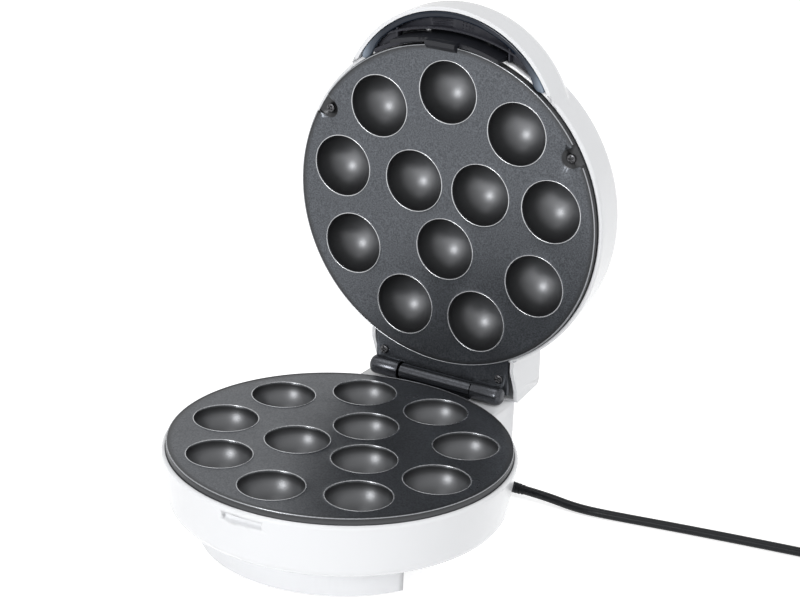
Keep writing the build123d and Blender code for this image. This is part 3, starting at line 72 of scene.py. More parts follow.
# The screws' tabs on the upper plate, in degrees, and the edge between them
TAB_ANGLES = (-30.0, 210.0)
TAB_HALF = 4.2
BETWEEN_TABS = (
    (TAB_ANGLES[0] + TAB_HALF, TAB_ANGLES[1] - TAB_HALF), (TAB_ANGLES[1] + TAB_HALF, 360 + TAB_ANGLES[0] - TAB_HALF),
)
WHOLE = ((0, 360),)
# The handle: centre of its arcs, the trim's inner side, and the lid's rim behind the liner
HANDLE_CENTRE = -0.0525
TRIM_INNER = 0.0719
LID_RIM = 0.1109
# The centre of the lower plate's face, from which the maker is drawn
CENTRE = Vector(((PLATE_LOW.x + PLATE_HIGH.x) / 2, (PLATE_LOW.y + PLATE_HIGH.y) / 2, PLATE_HIGH.z - BEAD))
TO_ROW = Matrix.Translation(CENTRE)
# Closed lid to open lid: a turn about the hinge's axis
TO_OPEN = Matrix.Translation(PIVOT) @ Matrix.Rotation(-OPEN_TURN, 4, "X") @ Matrix.Translation(-PIVOT) @ TO_ROW


# ---------------------------------------------------------------- surfaces

def moved(points, matrix):
    """Every point times the 4 x 4 matrix: the 3 x 3 part turns it, the last column shifts it."""
    m = np.array(matrix)
    return points @ m[:3, :3].T + m[:3, 3]


def sheet_faces(rows, columns, wrap_rows=False, wrap_columns=False):
    """Quads of a grid of rows x columns points, as index arrays; wrapping joins the last line to the first."""
    r = np.arange(rows if wrap_rows else rows - 1)
    c = np.arange(columns if wrap_columns else columns - 1)
    i, j = np.meshgrid(r, c, indexing="ij")
    i2, j2 = (i + 1) % rows, (j + 1) % columns
    quads = np.stack([i * columns + j, i * columns + j2, i2 * columns + j2, i2 * columns + j], -1)
    return quads.reshape(-1, 4)


def capped_faces(rows, columns):
    """Faces of closed sections carried along a line, rows x columns points, with a flat face at either end."""
    faces = sheet_faces(rows, columns, wrap_columns=True).tolist()
    faces.append(list(range(columns)))
    faces.append([(rows - 1) * columns + i for i in reversed(range(columns))])
    return faces


def superellipse(t, power):
    """Points of a rounded box of half size 1: x = sgn(cos t) |cos t|^p and y = sgn(sin t) |sin t|^p."""
    return np.sign(np.cos(t)) * np.abs(np.cos(t)) ** power, np.sign(np.sin(t)) * np.abs(np.sin(t)) ** power


def lathe(profile, turns=64, centre=(0.0, 0.0), span=2 * math.pi, begin=0.0):
    """Surface of revolution: (r, z) at angle a goes to (x0 + r cos a, y0 + r sin a, z)."""
    profile = np.asarray(profile, float)
    whole = abs(span - 2 * math.pi) < 1e-9
    angles = begin + np.linspace(0, span, turns, endpoint=not whole)
    r, z = profile[:, 0][:, None], profile[:, 1][:, None]
    points = np.stack(
        [centre[0] + r * np.cos(angles), centre[1] + r * np.sin(angles), np.broadcast_to(z, (len(profile), turns))], -1
    )
    return points.reshape(-1, 3), sheet_faces(len(profile), turns, wrap_columns=whole)


def arc_points(centre, radius, start, end, count):
    """Points on a circle: centre + radius (cos t, sin t), t from start to end in degrees."""
    t = np.radians(np.linspace(start, end, count))
    return np.stack([centre[0] + radius * np.cos(t), centre[1] + radius * np.sin(t)], -1)


def gather(pieces):
    """One set of points and faces from several, with each set's faces moved on by the points before it."""
    points, faces, count = [], [], 0
    for p, f in pieces:
        points.append(p)
        faces += [tuple(int(i) + count for i in face) for face in f]
        count += len(p)
    return np.concatenate(points), faces


def mesh_object(name, points, faces, matrix=None, outward=True, angle=35.0):
    """A mesh with merged doubles, faces turned outwards and edges sharper than the angle kept crisp."""
    if matrix is not None:
        points = moved(points, matrix)
    mesh = bpy.data.meshes.new(name)
    mesh.from_pydata(points.tolist(), [], [tuple(f) for f in faces])
    work = bmesh.new()
    work.from_mesh(mesh)
    bmesh.ops.remove_doubles(work, verts=work.verts, dist=1e-6)
    bmesh.ops.dissolve_degenerate(work, edges=work.edges, dist=1e-7)
    if outward:
        bmesh.ops.recalc_face_normals(work, faces=work.faces)
    work.to_mesh(mesh)
    work.free()
    mesh.polygons.foreach_set("use_smooth", np.ones(len(mesh.polygons), bool))
    mesh.set_sharp_from_angle(angle=math.radians(angle))
    mesh.update()
    piece = bpy.data.objects.new(name, mesh)
    bpy.context.scene.collection.objects.link(piece)
    return piece


def dressed_copy(node, angle=32.0):
    """A node's own shape with its loose triangles merged and its curved faces shaded smooth."""
    work = bmesh.new()
    work.from_mesh(NODES[node].data)
    bmesh.ops.remove_doubles(work, verts=work.verts, dist=2e-6)
    mesh = bpy.data.meshes.new(node + "_finish")
    work.to_mesh(mesh)
    work.free()
    mesh.materials.clear()
    mesh.polygons.foreach_set("use_smooth", np.ones(len(mesh.polygons), bool))
    mesh.set_sharp_from_angle(angle=math.radians(angle))
    piece = bpy.data.objects.new(mesh.name, mesh)
    bpy.context.scene.collection.objects.link(piece)
    modifier = piece.modifiers.new("Even normals", "WEIGHTED_NORMAL")
    modifier.keep_sharp = True
    modifier.weight = 80
    return piece


def painted_plate_light(piece, face, edge, levels):
    """Stores on every point the painted light of the plate's coat: 0 on the plate's flat face, 0.25 just inside a cup,
    and the levels further down.

    With d the depth under the face, the number runs straight between the pairs (d, level), and it is 0.25 round the
    plate's edge. Low numbers paint shade on the cups' steep walls and round the edge, and the highest paint the cups'
    highlights where they fall.
    """
    mesh = piece.data
    points = np.empty(len(mesh.vertices) * 3)
    mesh.vertices.foreach_get("co", points)
    local = moved(points.reshape(-1, 3), face.inverted())

    def smooth(value, start, end):
        t = np.clip((value - start) / (end - start), 0, 1)
        return t * t * (3 - 2 * t)

    # Painted shade just under the cups' mouths and down their walls, and painted highlights at the depths that the
    # levels give.
    start = 0.25 * smooth(-local[:, 2], 0.0001, 0.0005)
    deep = np.where(local[:, 2] > -0.001, start, np.interp(-local[:, 2], *np.transpose(levels)))
    # Painted shade round the plate's edge, where its side is in shadow.
    out = 0.25 * smooth(np.hypot(local[:, 0], local[:, 1]), edge - 0.0012, edge - 0.0006)
    layer = mesh.attributes.new("painted_plate_light", "FLOAT", "POINT")
    layer.data.foreach_set("value", np.maximum(deep, out))


def paint_tip_reflection(piece, start, end):
    """Stores on every point 0 in the handle's middle, rising to 1 from |x| = start to |x| = end: how much of the tips'
    painted reflection it takes.
    """
    mesh = piece.data
    points = np.empty(len(mesh.vertices) * 3)
    mesh.vertices.foreach_get("co", points)
    layer = mesh.attributes.new("tip", "FLOAT", "POINT")
    layer.data.foreach_set("value", np.clip((np.abs(points[0::3]) - start) / (end - start), 0, 1))


def place(piece, material, body, slot, *nodes):
    """Gives the piece its material, joins it to its body and hides the nodes that it stands for."""
    piece.data.materials.clear()
    piece.data.materials.append(material)
    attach(piece, body)
    if nodes:
        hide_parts(*nodes)


# ---------------------------------------------------------------- materials

def math_node(tree, operation, first, second):
    """A number made from two others; each is a socket or a plain value."""
    node = tree.nodes.new("ShaderNodeMath")
    node.operation = operation
    for socket, value in zip(node.inputs, (first, second)):
        if hasattr(value, "is_output"):
            tree.links.new(value, socket)
        else:
            socket.default_value = value
    return node.outputs[0]


def new_material(name):
    """A material with its node tree and its main shader."""
    material = bpy.data.materials.new(name)
    material.use_nodes = True
    tree = material.node_tree
    shader = tree.nodes["Principled BSDF"]
    return material, tree, shader


def object_coordinates(tree, scale):
    """The object's own coordinates, scaled."""
    where = tree.nodes.new("ShaderNodeTexCoord")
    mapping = tree.nodes.new("ShaderNodeMapping")
    mapping.inputs["Scale"].default_value = scale if hasattr(scale, "__len__") else (scale, scale, scale)
    tree.links.new(where.outputs["Object"], mapping.inputs["Vector"])
    return mapping.outputs["Vector"]


def noise(tree, vector, scale, detail=3.0, roughness=0.5):
    """Cloudy noise from 0 to 1 over a vector."""
    node = tree.nodes.new("ShaderNodeTexNoise")
    node.inputs["Scale"].default_value = scale
    node.inputs["Detail"].default_value = detail
    node.inputs["Roughness"].default_value = roughness
    tree.links.new(vector, node.inputs["Vector"])
    return node.outputs["Fac"]


def ramp(tree, fac, stops):
    """A number turned into greys or colours: stops are pairs of a place and a grey or a colour."""
    node = tree.nodes.new("ShaderNodeValToRGB")
    elements = node.color_ramp.elements
    while len(elements) < len(stops):
        elements.new(0.5)
    for element, (at, value) in zip(elements, stops):
        element.position = at
        element.color = value if hasattr(value, "__len__") else (value, value, value, 1.0)
    tree.links.new(fac, node.inputs["Fac"])
    return node.outputs["Color"]


def bump(tree, shader, height, strength, distance):
    """Fine relief from a height."""
    node = tree.nodes.new("ShaderNodeBump")
    node.inputs["Strength"].default_value = strength
    node.inputs["Distance"].default_value = distance
    tree.links.new(height, node.inputs["Height"])
    tree.links.new(node.outputs["Normal"], shader.inputs["Normal"])


def moulded_plastic(name, colour, rough, peel, fine=2600.0, spread=0.05, coat=0.0, shine=0.5):
    """Moulded plastic: even colour, slightly uneven gloss, and a shallow peel or spark texture."""
    material, tree, shader = new_material(name)
    shader.inputs["Base Color"].default_value = (*colour, 1.0)
    shader.inputs["Coat Weight"].default_value = coat
    shader.inputs["Specular IOR Level"].default_value = shine
    shader.inputs["Coat Roughness"].default_value = 0.06
    vector = object_coordinates(tree, 1.0)
    gloss = ramp(tree, noise(tree, vector, 60.0, 3.0), [(0.3, max(rough - spread, 0.02)), (0.7, rough + spread)])
    tree.links.new(gloss, shader.inputs["Roughness"])
    bump(tree, shader, noise(tree, vector, fine, 2.0), peel, 0.00005)
    return material


def gloss_trim(name, colour, pale):
    """Gloss moulding, blue-black along its middle and paler towards its thin tips, where the pale colour is a painted
    reflection.
    """
    material = moulded_plastic(name, colour, 0.10, 0.03, 700.0, 0.02, shine=0.3)
    tree = material.node_tree
    shader = tree.nodes["Principled BSDF"]
    between = tuple(0.8 * c + 0.2 * d for c, d in zip(colour, pale))
    shades = [(0.0, (*colour, 1.0)), (0.55, (*between, 1.0)), (1.0, (*pale, 1.0))]
    tree.links.new(ramp(tree, attribute(tree, "tip"), shades), shader.inputs["Base Color"])
    return material


def attribute(tree, name):
    """A number that the mesh carries at every point."""
    node = tree.nodes.new("ShaderNodeAttribute")
    node.attribute_name = name
    return node.outputs["Fac"]


def mix(tree, fac, low, high):
    """Blend of two colours by a number."""
    node = tree.nodes.new("ShaderNodeMix")
    node.data_type = "RGBA"
    for socket, value in ((node.inputs[6], low), (node.inputs[7], high)):
        if hasattr(value, "is_output"):
            tree.links.new(value, socket)
        else:
            socket.default_value = (*value, 1.0)
    tree.links.new(fac, node.inputs[0])
    return node.outputs[2]


def non_stick(name, face, cup, rough, cup_rough, grain=0.34):
    """Sprayed non-stick coat: a fine-grained metallic sheen on the flats; where the points carry the plate's
    painted-light numbers, painted shade darkens the cups' steep walls and the plate's edge, and painted highlights
    brighten the cups where their highlights fall.
    """
    material, tree, shader = new_material(name)
    vector = object_coordinates(tree, 1.0)
    depth = attribute(tree, "painted_plate_light")
    grains = noise(tree, vector, 1150.0, 2.0, 0.6)
    low, high = tuple(c * (1 - grain) for c in face), tuple(c * (1 + grain) for c in face)
    speckled = ramp(tree, grains, [(0.35, (*low, 1.0)), (0.65, (*high, 1.0))])
    # Painted shade and highlight: a quarter of the cup colour on the steep walls and round the plate's edge, up to the
    # full colour at the painted highlights.
    wall = tuple(c * 0.25 for c in cup)
    inside = ramp(tree, depth, [(0.26, (*wall, 1.0)), (1.0, (*cup, 1.0))])
    within = ramp(tree, depth, [(0.0, 0.0), (0.22, 1.0)])
    tree.links.new(mix(tree, within, speckled, inside), shader.inputs["Base Color"])
    shader.inputs["Metallic"].default_value = 0.75
    cloud = noise(tree, vector, 45.0, 3.0)
    even = ramp(tree, cloud, [(0.3, rough - 0.03), (0.7, rough + 0.03)])
    tree.links.new(mix(tree, within, even, (cup_rough, cup_rough, cup_rough)), shader.inputs["Roughness"])
    bump(tree, shader, grains, 0.16, 0.00008)
    return material


def metal(name, colour, rough, streak=(40.0, 40.0, 900.0), wear=0.08):
    """Bare metal with fine drawing lines and a cloudy gloss."""
    material, tree, shader = new_material(name)
    shader.inputs["Metallic"].default_value = 1.0
    vector = object_coordinates(tree, streak)
    lines = noise(tree, vector, 12.0, 4.0)
    dark = tuple(c * 0.8 for c in colour)
    tree.links.new(ramp(tree, lines, [(0.3, (*dark, 1.0)), (0.7, (*colour, 1.0))]), shader.inputs["Base Color"])
    tree.links.new(ramp(tree, lines, [(0.3, rough), (0.7, rough + wear)]), shader.inputs["Roughness"])
    bump(tree, shader, lines, 0.1, 0.00003)
    return material


FINISHES = {}


def finish(name):
    """The shared material of this name."""
    return FINISHES[name]


# ---------------------------------------------------------------- settings

class CasingSettings(PropertyGroup):
    """The white mouldings."""

    colour: FloatVectorProperty(
        name="Casing colour", description="Colour of the white mouldings", subtype="COLOR", size=3, min=0, max=1,
        default=(0.83, 0.84, 0.86),
    )
    gloss: FloatProperty(name="Casing roughness", description="Roughness of the mouldings", default=0.22, min=0, max=1)


class PlateSettings(PropertyGroup):
    """The two cooking plates."""

    cup_radius: FloatProperty(
        name="Cup radius", description="Radius of a cup's mouth", subtype="DISTANCE", unit="LENGTH", default=0.0203
    )
    rim_radius: FloatProperty(
        name="Rim thickness", description="Radius of the round rim", subtype="DISTANCE", unit="LENGTH", default=0.00040
    )
    outer_ring: FloatProperty(
        name="Outer ring", description="Radius of the ring of cups", subtype="DISTANCE", unit="LENGTH", default=0.0775
    )
    inner_ring: FloatProperty(
        name="Inner ring", description="Radius of the middle cups", subtype="DISTANCE", unit="LENGTH", default=0.0280
    )
    inner_shift: FloatProperty(
        name="Inner shift", description="Sideways place of the middle cups", subtype="DISTANCE", unit="LENGTH",
        default=0.0017,
    )
    edge: FloatProperty(
        name="Plate edge", description="Radius of the face's bright edge line", subtype="DISTANCE", unit="LENGTH",
        default=0.1073,
    )
    edge_radius: FloatProperty(
        name="Edge line", description="Thickness of the edge line", subtype="DISTANCE", unit="LENGTH", default=0.0004
    )
    colour: FloatVectorProperty(
        name="Coat colour", description="Sheen of the non-stick coat on the flat face", subtype="COLOR", size=3,
        min=0, max=1, default=(0.082, 0.088, 0.098),
    )
    cup_colour: FloatVectorProperty(
        name="Cup colour", description="Sheen of the coat in the cups", subtype="COLOR", size=3, min=0, max=1,
        default=(0.170, 0.174, 0.182),
    )


class HandleSettings(PropertyGroup):
    """The handle's trim, liner and dots."""

    centre_y: FloatProperty(
        name="Handle centre", description="Centre of the handle's arc", subtype="DISTANCE", unit="LENGTH",
        default=HANDLE_CENTRE,
    )
    outer: FloatProperty(
        name="Trim radius", description="Outer radius of the trim", subtype="DISTANCE", unit="LENGTH", default=0.0762
    )
    width: FloatProperty(
        name="Trim width", description="Width of the trim", subtype="DISTANCE", unit="LENGTH", default=0.0042
    )
    low: FloatProperty(
        name="Trim edge", description="Height of the trim's edge", subtype="DISTANCE", unit="LENGTH", default=0.0030
    )
    high: FloatProperty(
        name="Trim root", description="Height of the trim's root", subtype="DISTANCE", unit="LENGTH", default=0.0105
    )
    dots: IntProperty(name="Dots", description="Dots in each row beside the grip ribs", default=4, min=0, max=12)


class LeadSettings(PropertyGroup):
    """The mains lead."""

    radius: FloatProperty(
        name="Lead radius", description="Radius of the lead", subtype="DISTANCE", unit="LENGTH", default=0.0030
    )
    coil_radius: FloatProperty(
        name="Coil radius", description="Radius of the spare lead's turns", subtype="DISTANCE", unit="LENGTH",
        default=0.0330,
    )
    coil_turns: IntProperty(name="Coil turns", description="Turns of the spare lead", default=3, min=1, max=12)


class StageSettings(PropertyGroup):
    """The studio round the maker."""

    lens: FloatProperty(name="Lens", description="Focal length of the camera in mm", default=105.25, min=10, max=300)
    key: FloatProperty(name="Key light", description="Power of the main softbox", subtype="POWER", default=15.6)
    fill: FloatProperty(name="Fill light", description="Power of the fill softbox", subtype="POWER", default=5.4)
    right: FloatProperty(name="Right side", description="How much brighter the room is on the right", default=5.5)
    table: FloatProperty(name="Table", description="Glow that keeps the table white", default=0.66)
    above: FloatProperty(name="Above", description="How much brighter the room is overhead", default=1.15)
    room: FloatProperty(name="Room light", description="Strength of the room's light", default=0.20)


def settings():
    """The maker's settings on this scene."""
    return bpy.context.scene.cake_pop


# ---------------------------------------------------------------- pieces

def cup_centres(plate):
    """x and y of the cups: nine on the outer ring from the front, three round the middle."""
    a = np.radians(-90 + 40 * np.arange(9))
    b = np.radians(90 + 120 * np.arange(3))
    outer = np.stack([plate.outer_ring * np.cos(a), plate.outer_ring * np.sin(a)], -1)
    inner = np.stack([plate.inner_shift + plate.inner_ring * np.cos(b), plate.inner_ring * np.sin(b)], -1)
    return np.concatenate([outer, inner])


def turned_over(points):
    """A shape drawn on the lower plate's face, mirrored to the upper face: z goes to gap - z."""
    return points * np.array([1, 1, -1]) + np.array([0, 0, PLATE_GAP])


def cup_rims(plate):
    """Twelve round rims: most of a circle of the rim's radius, revolved along each cup's mouth."""
    r = plate.rim_radius
    profile = arc_points((plate.cup_radius + 0.8 * r, 0.05 * r), r, 200, -20, 11)
    return gather([lathe(profile, 96, (x, y)) for x, y in cup_centres(plate)])


def edge_line(plate, spans):
    """Bright line on the plate's corner, a painted highlight standing for the light on its rounded edge: an arc of
    radius r, revolved about the z axis.
    """
    r, at = plate.edge_radius, plate.edge
    profile = arc_points((at - 0.5 * r, -0.3 * r), r, 140, -50, 9)
    return gather(
        [lathe(profile, int(b - a) + 1, span=math.radians(b - a), begin=math.radians(a)) for a, b in spans]
    )


def closed_ring(section, begin, end):
    """Closed section of (r, z) points carried round the z axis: (r cos a, r sin a, z), with flat ends."""
    section = np.array(section)
    count, size = int(end - begin) + 1, len(section)
    a = np.radians(np.linspace(begin, end, count))[:, None]
    x, y = section[:, 0] * np.cos(a), section[:, 0] * np.sin(a)
    points = np.stack([x, y, np.broadcast_to(section[:, 1], x.shape)], -1).reshape(-1, 3)
    if end - begin >= 360:
        return points[:-size], sheet_faces(count - 1, size, wrap_rows=True, wrap_columns=True)
    return points, capped_faces(count, size)


def plate_corner(plate, spans):
    """Crisp corner of the cast plate: a thin band over its edge, from the face round to the side."""
    r = plate.edge + 0.0003
    section = [
        (r - 0.0042, -0.0001), (r - 0.0042, 0.00002), (r - 0.0006, 0.00002), (r - 0.0002, -0.00008),
        (r + 0.00005, -0.0005), (r + 0.00005, -0.0037), (r - 0.0001, -0.0037),
    ]
    return gather([closed_ring(section, a, b) for a, b in spans])


def cross_head(radius, height, turn, recess=0.55):
    """Pan head: z = height (1 - 0.35 (r/R)^2) with a round shoulder, less two crossed grooves with soft sides."""
    rows = np.concatenate([np.linspace(0.001, 0.93, 20), [0.97, 0.995, 1.0, 1.0]]) * radius
    drop = np.concatenate([np.zeros(20), [0.04, 0.16, 0.32, 1.0]]) * height
    a = np.linspace(0, 2 * math.pi, 64, endpoint=False)
    r = rows[:, None]
    x, y = r * np.cos(a), r * np.sin(a)
    u, v = x * math.cos(turn) + y * math.sin(turn), -x * math.sin(turn) + y * math.cos(turn)
    top = height * (1 - 0.35 * (r / radius) ** 2)

    def groove(across, along):
        half, reach, soft = 0.15 * radius, 0.62 * radius, 0.035 * radius
        side = 1 / (1 + np.exp((np.abs(across) - half) / soft))
        end = 1 / (1 + np.exp((np.abs(along) - reach) / soft))
        return side * end

    cut = np.maximum(groove(u, v), groove(v, u)) * recess * height
    z = np.maximum(top - cut - drop[:, None], 0)
    points = np.stack([x, y, z], -1).reshape(-1, 3)
    return points, sheet_faces(len(rows), len(a), wrap_columns=True)


def trim_surface(handle):
    """Crescent: a rounded bar section carried along the handle's arc, narrowing to round tips."""
    steps = np.linspace(0, 1, 97)
    angle = np.radians(-151.2 + 122.4 * steps)
    half = handle.width / 2
    narrow = np.sqrt(np.clip(1 - np.abs(2 * steps - 1) ** 26, 0.02, 1))
    flare = 0.0026 * np.clip((np.abs(2 * steps - 1) - 0.72) / 0.2, 0, 1) ** 2 * narrow
    across, up = superellipse(np.linspace(0, 2 * math.pi, 28, endpoint=False), 0.42)
    middle = (handle.low + handle.high) / 2
    radius = handle.outer - half + across[None, :] * half * narrow[:, None]
    radius = radius - (1 - across[None, :]) / 2 * flare[:, None]
    z = middle + up[None, :] * (handle.high - handle.low) / 2 * (0.6 + 0.4 * narrow[:, None])
    x = radius * np.cos(angle)[:, None]
    y = handle.centre_y + radius * np.sin(angle)[:, None]
    return np.stack([x, y, z], -1).reshape(-1, 3), capped_faces(len(steps), len(across))


def liner_span(x):
    """y of the casing's rim and of the trim's inner side at x: -sqrt(a^2 - x^2) and c - sqrt(b^2 - x^2)."""
    return -np.sqrt(LID_RIM**2 - x**2), HANDLE_CENTRE - np.sqrt(TRIM_INNER**2 - x**2)


def liner_end(side, inner, outer):
    """Flat end of the liner: at each x a section, y = y0 + (y1 - y0) u and z = z0 + (z1 - z0) v, corners cut."""
    low, high = 0.0080, 0.0104
    x = np.linspace(inner, outer, 25)[:, None]
    y_in, y_out = liner_span(x)
    across = np.array([0.0, 0.02, 0.98, 1.0, 1.0, 0.98, 0.02, 0.0])
    up = np.array([0.15, 0.0, 0.0, 0.15, 0.85, 1.0, 1.0, 0.85])
    parts = np.broadcast_arrays(side * x, y_in + (y_out - y_in) * across, low + (high - low) * up)
    return np.stack(parts, -1).reshape(-1, 3), capped_faces(len(x), len(up))


def slot_end(side, x, low, high):
    """Thin wall across the end of the latch's slot: sections (x + w u, z0 + (z1 - z0) v), 2 w = 1.4 mm wide."""
    half = 0.0007
    across = np.array([-0.4, -0.85, -1.0, -1.0, 1.0, 1.0, 0.85, 0.4]) * half
    up = np.array([0.0, 0.03, 0.1, 1.0, 1.0, 0.1, 0.03, 0.0])
    y = np.linspace(*liner_span(x), 9)[:, None]
    parts = np.broadcast_arrays(side * (x + across), y, low + (high - low) * up)
    return np.stack(parts, -1).reshape(-1, 3), capped_faces(len(y), len(up))


def knuckle_sleeve(side, radius, start, end, curve):
    """Domed sleeve about the hinge's axis: r = R along x, then an elliptic end, r^2/R^2 + (x - x0)^2/c^2 = 1."""
    t = np.radians(np.linspace(0, 90, 15))
    along = np.concatenate([[start, start, start + 0.0002, start + 0.0005], end - curve + curve * np.sin(t)])
    across = np.concatenate([[0.0, radius - 0.0005, radius - 0.0002, radius], radius * np.cos(t) ** 0.62])
    points, faces = lathe(np.stack([across, along], -1), 56)
    turn = Matrix.Translation(PIVOT) @ Matrix.Rotation(side * math.pi / 2, 4, "Y")
    return moved(points, turn), faces


def dome_dots(places, radius, height, z):
    """Low domes: each is a cap of z - height (1 - (r/R)^2) over its place, hanging down from the liner."""
    profile = np.stack([np.linspace(0.02, 1, 5), np.linspace(0.02, 1, 5)], -1)
    profile = np.stack([profile[:, 0] * radius, z - height * (1 - profile[:, 1] ** 2)], -1)
    return gather([lathe(profile, 14, place_xy) for place_xy in places])


def lead_points(lead):
    """Control points of the lead: over the table, three rising turns, and down to the plug."""
    level = -0.0599
    free = [
        (0.0735, 0.1125, -0.0575), (0.0890, 0.1125, -0.0575), (0.1120, 0.1130, level), (0.1370, 0.1168, level),
        (0.1700, 0.1238, level), (0.2120, 0.1319, level), (0.2547, 0.1393, level),
    ]
    count = 12 * lead.coil_turns
    k = np.arange(1, count + 1) - 0.5
    turn = k / 12
    angle = np.radians(-81 + 360 * turn)
    radius = (lead.coil_radius + 0.0015 * np.sin(math.pi * turn / lead.coil_turns / 2)) / 0.966
    coil = np.stack(
        [0.295 + radius * np.cos(angle), 0.179 + radius * np.sin(angle), level + 0.0069 * turn], -1
    )
    top = level + 0.0069 * lead.coil_turns
    tail = [(0.3320, 0.1515, top), (0.3660, 0.1564, -0.0493), (0.3900, 0.1570, -0.0538), (0.4080, 0.1570, -0.0538)]
    return np.concatenate([np.array(free), [[0.2955, 0.1457, level]], coil, [[0.3075, 0.1476, top]], np.array(tail)])


def plug_surface():
    """Moulded plug: rounded-rectangle sections whose half sizes follow the grip's waist, carried along X."""
    along = np.array([0, 0.4, 2, 6, 10, 14, 18, 22, 26, 29, 31.5, 33, 33.8, 34]) / 1000
    width = np.array([3.3, 3.6, 4.4, 6.2, 7.4, 7.6, 6.9, 6.6, 7.6, 8.8, 9.0, 8.8, 8.2, 7.4]) / 1000
    depth = np.array([3.3, 3.6, 4.2, 5.2, 5.9, 6.0, 5.6, 5.6, 6.6, 7.6, 7.9, 7.8, 7.2, 6.4]) / 1000
    c, s = superellipse(np.linspace(0, 2 * math.pi, 48, endpoint=False), 0.62)
    parts = np.broadcast_arrays(along[:, None], width[:, None] * c, depth[:, None] * s)
    return np.stack(parts, -1).reshape(-1, 3), capped_faces(len(along), len(c))


def blade_surface(z):
    """Flat blade: a rounded-rectangle section 1.5 x 6.4 mm along X with a chamfered end."""
    along = np.array([33.5, 48.5, 50.0]) / 1000
    scale = np.array([1.0, 1.0, 0.55])
    c, s = superellipse(np.linspace(0, 2 * math.pi, 20, endpoint=False) + 0.157, 0.3)
    parts = np.broadcast_arrays(along[:, None], z + 0.00075 * s * scale[:, None], 0.0032 * c * scale[:, None])
    return np.stack(parts, -1).reshape(-1, 3), capped_faces(len(along), len(c))


class CAKEPOP_OT_finishes(Operator):
    """Makes the materials that the pieces share"""

    bl_idname = "cake_pop.finishes"
    bl_label = "Finishes"

    def execute(self, context):
        s = settings()
        casing, face, cup = tuple(s.casing.colour), tuple(s.plate.colour), tuple(s.plate.cup_colour)
        FINISHES.update(
            casing=moulded_plastic("White gloss moulding", casing, s.casing.gloss, 0.06, 900.0, 0.03, 0.35),
            cooking_plate=non_stick("Grained non-stick coat with painted shade and highlights", face, cup, 0.30, 0.385),
            # The cup rims' bright metal is a painted highlight, standing for the light that the rounded rims catch.
            cup_rim=metal("Bright cup rim, painted highlight", (0.58, 0.59, 0.61), 0.22),
            # The plate edge's bright metal is a painted highlight on the rounded corner.
            edge=metal("Bright plate corner, painted highlight", (0.36, 0.37, 0.39), 0.24),
            bracket=non_stick("Grained black enamel", (0.078, 0.084, 0.095), cup, 0.33, 0.33),
            knuckle=non_stick("Smooth black enamel", (0.060, 0.063, 0.071), cup, 0.22, 0.22),
            # The pale tip colour is a painted reflection on the trim's tips.
            gloss_black=gloss_trim("Blue-black gloss trim", (0.008, 0.013, 0.024), (0.30, 0.36, 0.44)),
            matt_black=moulded_plastic("Matt charcoal liner", (0.030, 0.031, 0.040), 0.60, 0.35, 2200.0, shine=0.3),
            latch_black=moulded_plastic("Satin black latch", (0.012, 0.013, 0.017), 0.42, 0.18, 1800.0, shine=0.3),
            rubber=moulded_plastic("Grey rubber", (0.16, 0.16, 0.165), 0.75, 0.4, 1500.0),
            cord=moulded_plastic("Black flexible sleeve", (0.008, 0.009, 0.011), 0.30, 0.15, 1600.0, shine=0.22),
            lens=moulded_plastic("Red lamp lens", (0.55, 0.03, 0.02), 0.12, 0.02, 600.0, 0.02, 0.5),
            insulator=moulded_plastic("Pale insulating plastic", (0.62, 0.60, 0.55), 0.5, 0.2),
            sheet=metal("Bright pressed sheet", (0.72, 0.73, 0.74), 0.24),
            element=metal("Heat-tinted element tube", (0.34, 0.31, 0.29), 0.38),
            steel=metal("Plain steel", (0.62, 0.62, 0.63), 0.28),
            black_screw=metal("Blackened steel", (0.10, 0.10, 0.105), 0.30),
        )
        FINISHES["lens"].node_tree.nodes["Principled BSDF"].inputs["Transmission Weight"].default_value = 0.4
        return {"FINISHED"}


class CAKEPOP_OT_mouldings(Operator):
    """Dresses the casings, covers and feet with smooth faces"""

    bl_idname = "cake_pop.mouldings"
    bl_label = "Casings and covers"

    def execute(self, context):
        for node in ("base_shell", "lid_shell", "bottom_cover", "tower_cover", "rubber_feet"):
            place(dressed_copy(node), finish(SLOT_OF[node]), BODY_OF[node], SLOT_OF[node], node)
        return {"FINISHED"}


